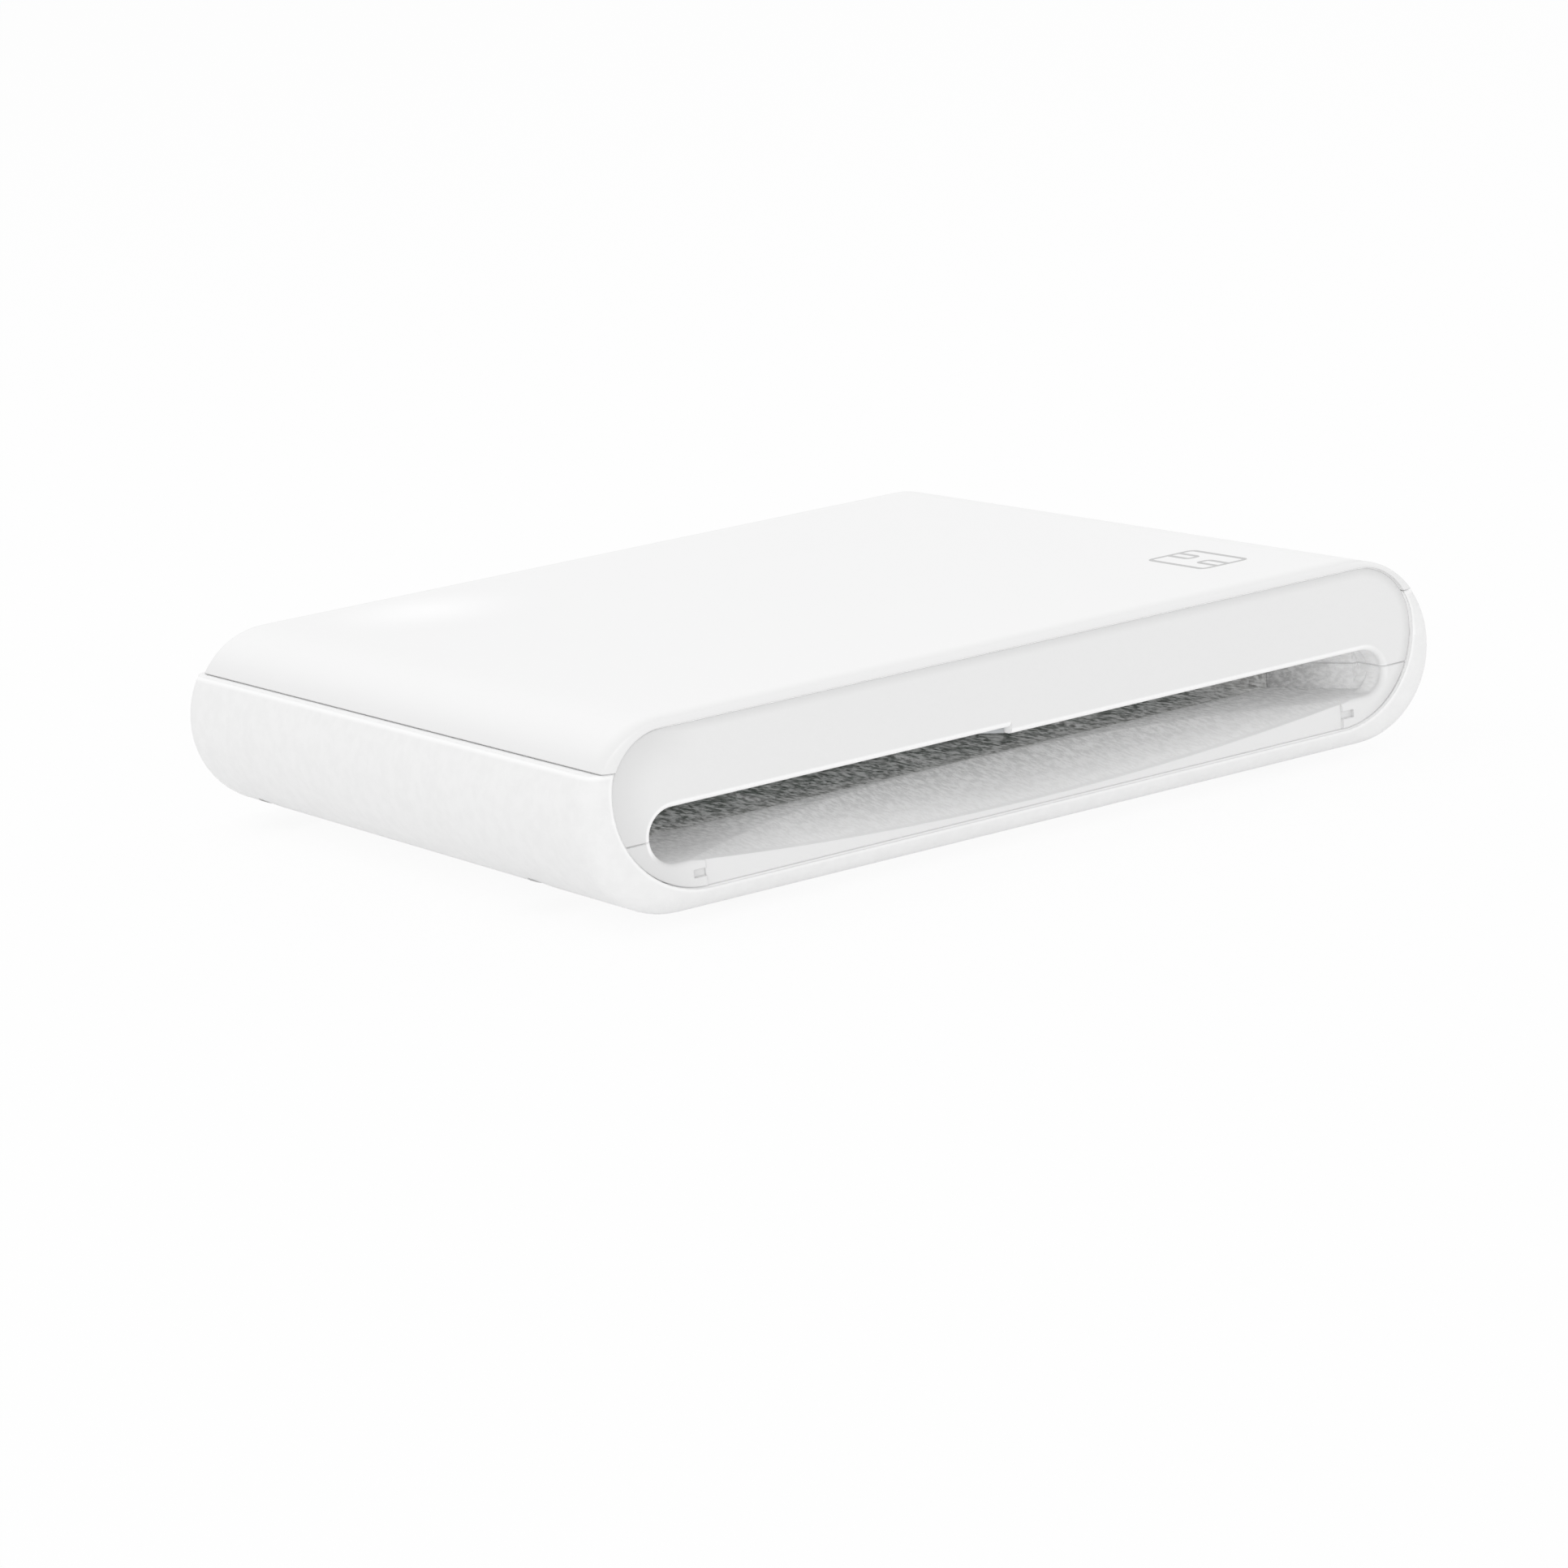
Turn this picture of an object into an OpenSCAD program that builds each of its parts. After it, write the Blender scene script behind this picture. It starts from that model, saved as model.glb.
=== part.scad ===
// Desktop reader for credit-card sized smart cards, with a card mouth in front and a
// socket for a detachable lead behind. Width along X, depth along Y with the mouth at -Y,
// height along Z. The origin lies under the middle of the case, on the plane of its feet.

/* [Case] */
// From the card's edge to the side of the case
case_side = 9.01; // [8.91:0.1:11.01]
// From the card's stop to the back of the case
case_behind = 16; // [15:0.5:20]
// Room over the circuit board
headroom = 3.4; // [3:0.1:4.4]
// How much the radius of the shell's round sides is over half the case's height
shell_round_more = 0.1; // [0:0.05:0.2]
// How much the radius of the cover's round sides is under half the case's height
cover_round_less = 0.4; // [0.2:0.05:0.6]
// How much narrower the cover is than the shell, on each side
cover_step = 0.6; // [0.4:0.1:0.8]
// Height of the cover above the parting line
cover_skirt = 2.9; // [2.6:0.1:3.2]
// Wall of the lower shell
shell_wall = 1.5; // [1.3:0.1:1.6]
// Wall of the cover
cover_wall = 1.3; // [1.1:0.1:1.4]
// Back walls of both shells
back_wall = 1.6; // [1.2:0.1:2]
// Edge round of the shell's front rim
shell_front_r = 1.8; // [1:0.1:2]
// Edge round of the cover's front rim
cover_front_r = 0.6; // [0.3:0.1:0.8]
// Edge round at the back of both shells
back_edge_r = 1.5; // [0.8:0.1:2]

/* [Front panel] */
// Rim of the shell beside the front panel
panel_side = 2.2; // [2:0.1:2.5]
// Rim of the shell under the front panel
panel_rim = 1.65; // [1.6:0.05:1.8]
// Rim of the cover over the front panel
panel_brow = 0.55; // [0.5:0.05:0.8]
// How much the radius of the panel's upper corners is under the cover's
panel_high_less = 2; // [1.6:0.1:2.4]
// How much the radius of the panel's lower corners is under the shell's
panel_low_less = 0.1; // [0:0.1:1.5]
// Thickness of the front panel
panel_t = 2; // [1.6:0.1:2.2]
// How far the panel stands back from the rims
panel_recess = 0.25; // [0.1:0.05:0.4]

/* [Card mouth] */
// Panel left beside the mouth
mouth_side = 2.7; // [2.4:0.1:3.2]
// Height of the mouth at its ends, left of the step
mouth_h = 3.9; // [3.8:0.1:4.2]
// How much lower the upper lip is right of the step
lip_step = 0.5; // [0.3:0.1:0.6]
// How far left of the middle the step in the lip lies
step_offset = 1.5; // [0:0.5:4]
// Round on the mouth's front edge
lip_r = 0.45; // [0.2:0.05:0.6]
// Lip left under the middle of the thumb scoop
scoop_lip = 0.35; // [0.3:0.05:0.6]
// How far the thumb scoop stops short of the mouth's ends
scoop_end = 2.1; // [2:0.1:6]
// Length of the ramp from the panel into the throat
scoop_len = 9; // [7:0.5:10]
// Depth of the throat behind the panel
throat_len = 7.25; // [6.5:0.25:8]

/* [Card guide] */
// Width of the standard card
card_w = 53.98; // [53.92:0.01:54.03]
// Thickness of the standard card
card_t = 0.76; // [0.68:0.01:0.84]
// How deep the card goes in
insert_depth = 46; // [44:0.5:48]
// Room beside the card, on each side
card_side_play = 0.3; // [0.2:0.05:0.4]
// Room over the card
card_top_play = 0.34; // [0.25:0.01:0.45]
// Reach of the rails' overhang over the card
rail_hook = 1.5; // [1:0.1:2.5]
// Thickness of the tray's floor
tray_t = 1.2; // [1:0.1:1.3]
// Height of the ribs under the tray
tray_rib_h = 0.8; // [0.7:0.1:1]

/* [Contacts] */
// Height of the contact block
block_h = 3; // [2.9:0.1:3.2]
// Length of a contact arm from its bend to its tip
arm_len = 5.4; // [5.1:0.1:5.5]
// Width of a contact arm
arm_w = 1.1; // [0.9:0.1:1.3]
// Thickness of the contact strip
arm_t = 0.2; // [0.15:0.05:0.25]
// Radius of the bead at a contact's tip
tip_r = 0.4; // [0.3:0.05:0.45]
// Gap between a contact's tip and the tray with no card in
tip_gap = 0.35; // [0.25:0.05:0.45]

/* [Electronics] */
// Thickness of the circuit board
board_t = 1.2; // [1:0.1:1.6]
// From the side of the case to the circuit board
board_side = 7; // [6.8:0.1:9]
// Width of the socket's metal shell
usb_w = 8.94; // [8.9:0.01:9]
// Height of the socket's metal shell
usb_h = 3.16; // [3.1:0.01:3.2]
// Length of the socket's metal shell
usb_len = 7.3; // [6.9:0.1:8]

/* [Fixings and feet] */
// How far the feet stand below the case
foot_h = 0.9; // [0.6:0.1:1.4]
// Diameter of a foot
foot_d = 8; // [6:0.5:8.5]
// Depth of the recess that a foot is glued into
foot_seat = 0.5; // [0.3:0.1:0.6]
// Diameter of the screws' shanks
screw_d = 2; // [1.8:0.1:2.1]
// Diameter of the screws' heads
head_d = 3.6; // [3.3:0.1:3.7]
// Height of the screws' heads
head_h = 1.2; // [1:0.1:1.4]

/* [Hidden] */
$fn = 64;
// One overrun for all cuts, and the gaps that pieces keep
overrun = 1;
seam = 0.08;
panel_gap = 0.08;
fit = 0.1;
leg_t = 0.2;

// The case stands round the card and what lies over and under it: its size and levels
guide_gap = 0.1;
body_w = card_w + 2 * case_side;
body_d = insert_depth + case_behind;
card_stack = tray_rib_h + tray_t + card_t + card_top_play + guide_gap + block_h + board_t;
body_h = shell_wall + card_stack + headroom + cover_wall;
shell_corner_r = body_h / 2 + shell_round_more;
cover_corner_r = body_h / 2 - cover_round_less;
body_bottom = foot_h;
body_top = body_bottom + body_h;
front_y = -body_d / 2;
back_y = body_d / 2;
parting_z = body_top - cover_skirt;
shell_cx = body_w / 2 - shell_corner_r;
shell_cz = body_bottom + shell_corner_r;
shell_in_r = shell_corner_r - shell_wall;
cover_cx = body_w / 2 - cover_step - cover_corner_r;
cover_cz = body_top - cover_corner_r;
cover_in_r = cover_corner_r - cover_wall;
floor_z = body_bottom + shell_wall;
ceiling_z = body_top - cover_wall;
inner_back_y = back_y - back_wall;

// Tongue under the cover that goes down inside the shell
tongue_h = 1;
tongue_t = 0.8;
tongue_join = 0.6;
tongue_x = shell_cx + sqrt(pow(shell_in_r, 2) - pow(parting_z - shell_cz, 2)) - seam;
rib_t = 0.8;
rib_h = 0.9;

// Front panel and card mouth
panel_w = body_w - 2 * panel_side;
panel_high_r = cover_corner_r - panel_high_less;
mouth_w = panel_w - 2 * mouth_side;
scoop_w = mouth_w - 2 * scoop_end;
panel_y = front_y + panel_recess;
panel_back_y = panel_y + panel_t;
panel_low_z = body_bottom + panel_rim;
panel_high_z = body_top - panel_brow;
panel_flat = 0.1;
panel_low_r = min(shell_corner_r - panel_low_less, panel_high_z - panel_low_z - panel_high_r - panel_flat);
card_z = floor_z + tray_rib_h + tray_t;
lead_step = 0.1;
mouth_low_z = card_z + lead_step;
mouth_high_z = mouth_low_z + mouth_h;
split_z = (mouth_low_z + mouth_high_z) / 2;
throat_y = panel_back_y + throat_len;
throat_wall = 1;
scoop_low_z = panel_low_z + scoop_lip;
scoop_rise = mouth_low_z - scoop_low_z;
scoop_r = (pow(scoop_w / 2, 2) + pow(scoop_rise, 2)) / (2 * scoop_rise);
scoop_tilt = atan(scoop_rise / scoop_len);
lip_face_end = 1.9;
lip_face_w = scoop_w - 2 * lip_face_end;
lip_face_t = 0.2;
pocket_w = 1;
pocket_h = 0.55;
pocket_t = 0.3;
pocket_drop = 0.7;

// Light window under the upper lip, beside the step
step_x = -step_offset;
window_w = 3;
window_h = 0.55;
window_skin = 0.9;
window_x = step_x - window_w / 2;
lamp_w = 2.4;
lamp_h = 1.1;
lamp_l = 1.2;

// Card guide
channel_half = card_w / 2 + card_side_play;
channel_z = card_z + card_t + card_top_play;
case_screw_inset = 4.7;
case_screw_x = body_w / 2 - case_screw_inset;
seat_wall = 0.6;
rail_gap = 0.3;
rail_out = case_screw_x - head_d / 2 - seat_wall - rail_gap;
hook_t = 0.8;
hook_lead = 2.5;
tray_y = throat_y + guide_gap;
stop_y = front_y + insert_depth;
stop_t = 1.5;
stop_h = 2.8;
tray_back_y = stop_y + stop_t;
rib_count = 5;
groove_t = 0.3;
groove_end = 2;
tray_peg_d = 3;
tray_peg_h = 0.5;
tray_peg_inset = 5;
tray_peg_x = channel_half - channel_half / (rib_count - 1);
tray_peg_ys = [tray_y + tray_peg_inset, tray_back_y - tray_peg_inset];

// Rib under the lower bezel, and the latch that holds the front panel
locate_back = 3.5;
locate_side = 7;
locate_h = 0.6;
locate_y = throat_y - locate_back;
latch_back = 2.2;
latch_z = split_z + rib_t;
latch_h = 2;
latch_inset = 0.3;
latch_x = panel_w / 2 - latch_inset;
latch_y = panel_back_y + latch_back;
ear_t = 0.9;
barb_t = 0.35;
barb_l = 0.9;

// Places of the contacts on the standard card, from its leading edge and its middle
near_row = 18.87;
far_row = 11.25;
row_shift = 3.1;
row_pitch = 2.54;
row_count = 4;

// Contact block and arms
block_z = channel_z + guide_gap;
board_z = block_z + block_h;
board_top = board_z + board_t;
pivot_z = block_z + block_h / 3;
arm_sink = pivot_z - tip_r - (card_z + tip_gap);
arm_slope = asin(arm_sink / arm_len);
arm_run = arm_len * cos(arm_slope);
tip_kick = 25;
tail_len = 1.1;
bend_d = 0.3;
tip_room = 1;
pocket_gap = 0.25;
pocket_roof = 0.8;
block_w = 16;
block_rim = 2;
block_r = 1;
block_front = stop_y - near_row - arm_run - tail_len - block_rim;
block_back = stop_y - far_row + 2 * tip_r + block_rim;
block_wing = 6;
wing_h = 1.2;
peg_d = 1.5;
peg_x = block_w / 2 + block_wing / 2;

// Card-present switch behind the end stop
switch_x = -18;
switch_w = 5;
switch_d = 3;
leaf_w = 3;
leaf_t = 0.2;
leaf_y = stop_y + stop_t / 2;
leaf_pin_d = 0.5;
ear_h = 1.1;
ear_front = 0.6;
leaf_top_z = board_z - ear_h / 2;
leaf_dip = 0.16;
leaf_low_z = card_z + card_t - leaf_dip;
leaf_reach = stop_t;
blade_y = tray_back_y + guide_gap;
blade_h = 2;

// Circuit board and its parts
board_gap = 2.4;
board_y0 = throat_y + board_gap;
board_w = body_w - 2 * board_side;
board_y1 = inner_back_y - seam;
board_r = 1.5;
board_inset = 4.5;
board_screw_x = board_w / 2 - board_inset;
board_screw_ys = [board_y0 + board_inset, board_y1 - board_inset];
board_boss_wall = 1.1;
chip_w = 7;
chip_h = 1.4;
chip_leg_count = 8;
chip_leg_pitch = 0.8;
chip_leg_w = 0.35;
chip_leg_reach = 1;
chip_x = -6;
chip_y = stop_y - chip_w;
store_w = 4.9;
store_d = 3.9;
store_h = 1.5;
store_leg_count = 4;
store_leg_pitch = 1.27;
store_x = 9;
store_inset = 1;
store_y = stop_y - store_inset;
power_w = 3;
power_d = 1.7;
power_h = 1.1;
power_inset = 7;
power_x = 12;
power_y = board_y1 - power_inset;
crystal_w = 5;
crystal_d = 3.2;
crystal_h = 1;
crystal_x = -17;
crystal_y = chip_y;
small_l = 1.6;
small_w = 0.8;
small_h = 0.8;
cap_end = 0.35;
small_step = 2.4;
mark_d = 0.9;
mark_t = 0.1;

// Socket in the back wall, hung under the board
usb_z = board_z - usb_h / 2;
usb_wall = 0.3;
usb_set_back = 0.5;
usb_y1 = back_y - usb_set_back;
usb_y0 = usb_y1 - usb_len;
usb_foot_w = 1;
usb_foot_l = 1.5;
usb_base = 1.6;
tongue_w = 6.4;
usb_tongue_t = 0.7;
usb_tongue_back = 1;
cradle_x = 2.2;
pad_count = 8;
pad_w = 0.3;
pad_pitch = 0.7;
pad_t = 0.08;

// Screws and feet
boss_wall = 1;
head_seat_z = body_bottom + shell_wall + boss_wall;
boss_joint_z = board_z;
screw_end_room = 1.2;
case_screw_ys = [throat_y + board_inset, inner_back_y - board_inset];
case_screw_len = ceiling_z - head_seat_z - screw_end_room;
foot_side = 13.5;
foot_end = 8.5;
foot_x = body_w / 2 - foot_side;
foot_y = body_d / 2 - foot_end;

function row_x(i) = row_shift + (i - (row_count - 1) / 2) * row_pitch;

// A flat outline from the axis out to reach, whose two outer corners are round
module edge_profile(reach, y0, y1, low_r, high_r) {
    difference() {
        translate([0, y0]) square([reach, y1 - y0]);
        if (low_r > 0) corner_cut(reach, y0, low_r, 0);
        if (high_r > 0) corner_cut(reach, y1, high_r, 1);
    }
}

// What a round of radius r takes off the corner at (x, y)
module corner_cut(x, y, r, up) {
    translate([x, y]) mirror([0, up]) difference() {
        translate([-r, -overrun]) square([r + overrun, r + overrun]);
        translate([-r, r]) circle(r);
    }
}

// A flat body with round sides: its half profile, from the axis out, runs round it
module round_sided(cx, cz) {
    translate([0, 0, cz]) {
        for (side = [-1, 1])
            translate([side * cx, 0, 0]) rotate([-90, 0, 0]) rotate_extrude($fn = 96) children();
        for (flip = [0, 1])
            mirror([0, 0, flip]) translate([-cx, 0, 0]) rotate([90, 0, 90])
                linear_extrude(2 * cx) mirror([1, -1]) children();
    }
}

// A flat shape drawn in width and height, pushed back from y0 by a depth
module along_y(y0, depth) {
    translate([0, y0 + depth, 0]) rotate([90, 0, 0]) linear_extrude(depth) children();
}

// A flat shape drawn in depth and height, pushed sideways from x0 by a width
module along_x(x0, width) {
    translate([x0, 0, 0]) rotate([90, 0, 90]) linear_extrude(width) children();
}

// A box by its two corners
module span(low, high) {
    translate(low) cube(high - low);
}

// The same thing on both sides of the middle
module both_sides() {
    for (side = [0, 1]) mirror([side, 0, 0]) children();
}

// The same thing at four places
module at_corners(x, ys) {
    for (side = [-1, 1], y = ys) translate([side * x, y, 0]) children();
}

// A plate with corners of two radii
module soft_plate(half_w, z0, z1, low_r, high_r) {
    low_cz = z0 + low_r;
    high_cz = z1 - high_r;
    translate([-half_w, low_cz]) square([2 * half_w, high_cz - low_cz]);
    translate([low_r - half_w, z0]) square([2 * (half_w - low_r), high_cz - z0]);
    translate([high_r - half_w, low_cz]) square([2 * (half_w - high_r), z1 - low_cz]);
    for (side = [-1, 1]) {
        intersection() {
            translate([side * (half_w - low_r), low_cz]) circle(low_r);
            translate([-2 * half_w, z0 - low_r]) square([4 * half_w, (low_cz + high_cz) / 2 - z0 + low_r]);
        }
        translate([side * (half_w - high_r), high_cz]) circle(high_r);
    }
}

module rounded_rect(w, d, r) {
    square([w - 2 * r, d], center = true);
    square([w, d - 2 * r], center = true);
    for (x = [-1, 1], y = [-1, 1]) translate([x * (w / 2 - r), y * (d / 2 - r)]) circle(r);
}

// A bar with round ends, drawn flat about the origin
module round_bar(w, h) {
    square([w - h, h], center = true);
    for (side = [-1, 1]) translate([side * (w - h) / 2, 0]) circle(h / 2);
}

// Outer forms of the case, with the shell's and with the cover's round sides
module shell_form() {
    round_sided(shell_cx, shell_cz)
        edge_profile(shell_corner_r, front_y, back_y, shell_front_r, back_edge_r);
}

module cover_form() {
    round_sided(cover_cx, cover_cz)
        edge_profile(cover_corner_r, front_y, back_y, cover_front_r, back_edge_r);
}

// Hollow of either half, behind the front panel, and the way in for the panel
module hollow(cx, cz, r) {
    round_sided(cx, cz) edge_profile(r, panel_back_y, inner_back_y, 0, 0);
    along_y(front_y - overrun, panel_recess + panel_t + overrun + fit) panel_outline(panel_gap);
}

module panel_outline(gap) {
    soft_plate(panel_w / 2 + gap, panel_low_z - gap, panel_high_z + gap,
               panel_low_r + gap, panel_high_r + gap);
}

module bottom_shell() color([0.93, 0.93, 0.93]) difference() {
    union() {
        difference() {
            shell_form();
            span([-body_w, front_y - overrun, parting_z], [body_w, back_y + overrun, body_top + body_h]);
            hollow(shell_cx, shell_cz, shell_in_r);
        }
        shell_ribs();
        intersection() {
            shell_form();
            at_corners(case_screw_x, case_screw_ys) {
                cylinder(d = head_d + fit, h = boss_joint_z);
                cylinder(d = head_d + 2 * seat_wall, h = head_seat_z + seat_wall);
            }
        }
    }
    at_corners(case_screw_x, case_screw_ys) {
        cylinder(d = head_d + 2 * fit, h = head_seat_z);
        cylinder(d = screw_d + 2 * fit, h = body_top);
    }
    at_corners(foot_x, [-foot_y, foot_y])
        translate([0, 0, body_bottom - overrun]) cylinder(d = foot_d + fit, h = foot_seat + overrun);
    translate([0, 0, usb_z]) along_y(inner_back_y - overrun, back_wall + 2 * overrun)
        round_bar(usb_w + 2 * panel_gap, usb_h + 2 * panel_gap);
}

// Inside the lower shell: a rib that places the lower bezel, pegs for the tray, a cradle
// that takes the plug's push under the socket, and ribs that the panel's ears snap behind
module shell_ribs() {
    z0 = floor_z - fit;
    half = channel_half - locate_side;
    span([-half, locate_y, z0], [half, locate_y + rib_t, floor_z + locate_h]);
    at_corners(tray_peg_x, tray_peg_ys)
        translate([0, 0, z0]) cylinder(d = tray_peg_d, h = tray_rib_h + tray_peg_h + fit);
    cradle_z = usb_z - usb_h / 2 - fit;
    both_sides() {
        span([cradle_x, usb_y0 + usb_foot_l, z0], [cradle_x + rib_t, inner_back_y + fit, cradle_z]);
        span([latch_x, latch_y, latch_z], [shell_cx + shell_in_r + fit, latch_y + rib_t, latch_z + latch_h]);
    }
    span([-cradle_x, usb_y0 + usb_foot_l, z0], [cradle_x, usb_y0 + usb_foot_l + rib_t, cradle_z]);
}

module top_cover() color([0.96, 0.96, 0.96]) difference() {
    union() {
        difference() {
            cover_form();
            span([-body_w, front_y - overrun, 0], [body_w, back_y + overrun, parting_z + seam]);
            hollow(cover_cx, cover_cz, cover_in_r);
        }
        cover_tongue();
        intersection() {
            cover_form();
            span([-tongue_x, front_y, boss_joint_z + fit], [tongue_x, back_y, body_top]);
            at_corners(case_screw_x, case_screw_ys) cylinder(d = head_d, h = ceiling_z + fit);
        }
        at_corners(board_screw_x, board_screw_ys)
            translate([0, 0, board_top])
                cylinder(d = screw_d + 2 * board_boss_wall, h = ceiling_z - board_top + fit);
        // Stiffening ribs under the flat top
        span([-rib_t / 2, panel_back_y, ceiling_z - rib_h], [rib_t / 2, inner_back_y, ceiling_z + fit]);
        for (y = board_screw_ys)
            span([-cover_cx, y - rib_t / 2, ceiling_z - rib_h], [cover_cx, y + rib_t / 2, ceiling_z + fit]);
    }
    at_corners(case_screw_x, case_screw_ys)
        translate([0, 0, boss_joint_z])
            cylinder(d = screw_d + fit, h = head_seat_z + case_screw_len + fit - boss_joint_z);
    at_corners(board_screw_x, board_screw_ys)
        translate([0, 0, board_top - overrun])
            cylinder(d = screw_d + fit, h = ceiling_z - board_top + overrun);
}

// Sides and back of the tongue that closes the parting line from inside
module cover_tongue() {
    z0 = parting_z - tongue_h;
    z1 = parting_z + tongue_join;
    y1 = inner_back_y - seam;
    both_sides() span([tongue_x - tongue_t, panel_back_y + fit, z0], [tongue_x, y1, z1]);
    span([-tongue_x, y1 - tongue_t, z0], [tongue_x, y1, z1]);
    span([-tongue_x, y1 - tongue_t, parting_z + seam], [tongue_x, inner_back_y + fit, z1]);
}

// The half profile of the mouth, widening to the front
module mouth_profile(reach) {
    translate([0, panel_y - overrun]) square([reach, panel_t + 2 * overrun]);
    translate([reach, panel_y - overrun]) square([lip_r, overrun]);
    difference() {
        translate([reach, panel_y]) square([lip_r, lip_r]);
        translate([reach + lip_r, panel_y + lip_r]) circle(lip_r);
    }
}

// One side of the mouth, from the step in the lip to the round end
module mouth_side(side, high_z) {
    reach = (high_z - mouth_low_z) / 2;
    inner = side * step_x;
    outer = mouth_w / 2 - reach;
    translate([0, 0, mouth_low_z + reach]) mirror([side < 0 ? 1 : 0, 0, 0]) {
        translate([outer, 0, 0]) rotate([-90, 0, 0]) rotate_extrude() mouth_profile(reach);
        for (flip = [0, 1])
            mirror([0, 0, flip]) translate([inner, 0, 0]) rotate([90, 0, 90])
                linear_extrude(outer - inner) mirror([1, -1]) mouth_profile(reach);
    }
}

module mouth() {
    mouth_side(-1, mouth_high_z);
    mouth_side(1, mouth_high_z - lip_step);
}

// The thumb scoop is a shallow round trough that rises into the throat
module scoop() {
    intersection() {
        translate([0, panel_y, scoop_low_z]) rotate([scoop_tilt - 90, 0, 0])
            translate([0, -scoop_r, -overrun])
                cylinder(r = scoop_r, h = scoop_len + 2 * overrun, $fn = 720);
        span([-scoop_w / 2, front_y - overrun, 0], [scoop_w / 2, throat_y + overrun, mouth_low_z + fit]);
    }
}

// Walls beside the throat, drawn from above: they close in on the card's width
module throat_cheeks(z0, z1) {
    out = mouth_w / 2;
    both_sides() translate([0, 0, z0]) linear_extrude(z1 - z0)
        polygon([[out, panel_back_y], [out + throat_wall, panel_back_y],
                 [out + throat_wall, panel_back_y + throat_wall], [channel_half + throat_wall, throat_y],
                 [channel_half, throat_y]]);
}

// Floor of the throat out to its cheeks, drawn from above
module throat_floor(z0, z1) {
    front = mouth_w / 2 + throat_wall;
    back = channel_half + throat_wall;
    translate([0, 0, z0]) linear_extrude(z1 - z0)
        polygon([[-front, panel_back_y], [front, panel_back_y], [front, panel_back_y + throat_wall],
                 [back, throat_y], [-back, throat_y], [-front, panel_back_y + throat_wall]]);
}

// Where the light pipe passes the panel and the throat's roof
module window_way() {
    x0 = step_x - window_w - fit;
    z0 = mouth_high_z - fit;
    span([x0, panel_y + window_skin - fit, z0], [step_x, board_y0, mouth_high_z + window_h + fit]);
    span([x0, panel_back_y, z0], [step_x, board_y0, ceiling_z]);
}

module front_bezel() color([0.9, 0.9, 0.9]) difference() {
    union() {
        along_y(panel_y, panel_t) intersection() {
            panel_outline(0);
            translate([-body_w, split_z]) square([2 * body_w, body_h]);
        }
        along_x(-mouth_w / 2 - throat_wall, mouth_w + 2 * throat_wall) throat_roof(0, throat_wall);
        throat_cheeks(split_z, mouth_high_z);
        both_sides() panel_ear();
    }
    mouth();
    window_way();
}

// Ear that goes back from the panel and snaps behind the shell's rib, drawn from above
module panel_ear() {
    x1 = latch_x - seam;
    x0 = x1 - ear_t;
    y1 = latch_y + rib_t + fit;
    translate([0, 0, latch_z]) linear_extrude(latch_h)
        polygon([[x0, panel_back_y - fit], [x1, panel_back_y - fit], [x1, y1], [x1 + barb_t, y1],
                 [x1, y1 + barb_l], [x0, y1 + barb_l]]);
}

// Side view of the throat's roof, sloping down to the top of the rails
module throat_roof(gap, thick) {
    low_z = channel_z + hook_t - lead_step;
    translate([0, -gap])
        polygon([[panel_back_y, mouth_high_z], [throat_y, low_z],
                 [throat_y, low_z + thick], [panel_back_y, mouth_high_z + thick]]);
}

module lower_bezel() color([0.9, 0.9, 0.9]) difference() {
    union() {
        along_y(panel_y, panel_t) intersection() {
            panel_outline(0);
            translate([-body_w, split_z - seam - body_h]) square([2 * body_w, body_h]);
        }
        span([-channel_half, panel_back_y, floor_z], [channel_half, throat_y, mouth_low_z]);
        throat_floor(card_z - tray_t / 2, mouth_low_z);
        difference() {
            throat_cheeks(mouth_low_z - fit, split_z - seam);
            along_x(-body_w / 2, body_w) throat_roof(seam, body_h);
        }
    }
    mouth();
    scoop();
    locate = channel_half - locate_side + fit;
    span([-locate, locate_y - fit, floor_z - overrun],
         [locate, locate_y + rib_t + fit, floor_z + locate_h + fit]);
    // Stepped face of the lip, with a small pocket beyond each end of it
    span([-lip_face_w / 2, front_y, body_bottom], [lip_face_w / 2, panel_y + lip_face_t, mouth_low_z]);
    both_sides()
        span([lip_face_w / 2, front_y, mouth_low_z - pocket_drop - pocket_h],
             [lip_face_w / 2 + pocket_w, panel_y + pocket_t, mouth_low_z - pocket_drop]);
}

// The light pipe rises to the lamp on the board; its tip tapers down beside the lip's step
module light_pipe() color([0.75, 0.78, 0.8]) {
    x0 = step_x - window_w;
    front = panel_y + window_skin;
    back = board_y0 - fit;
    along_x(x0, window_w - fit)
        polygon([[front, mouth_high_z], [front, mouth_high_z + window_h],
                 [panel_back_y, mouth_high_z + window_h], [back - lamp_h, board_top + lamp_h],
                 [back, board_top + lamp_h], [back, mouth_high_z]]);
    along_y(front, panel_back_y - front)
        polygon([[x0, mouth_high_z], [x0, mouth_high_z + fit], [step_x - fit, mouth_high_z + fit],
                 [step_x - fit, mouth_high_z - lip_step]]);
}

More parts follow.
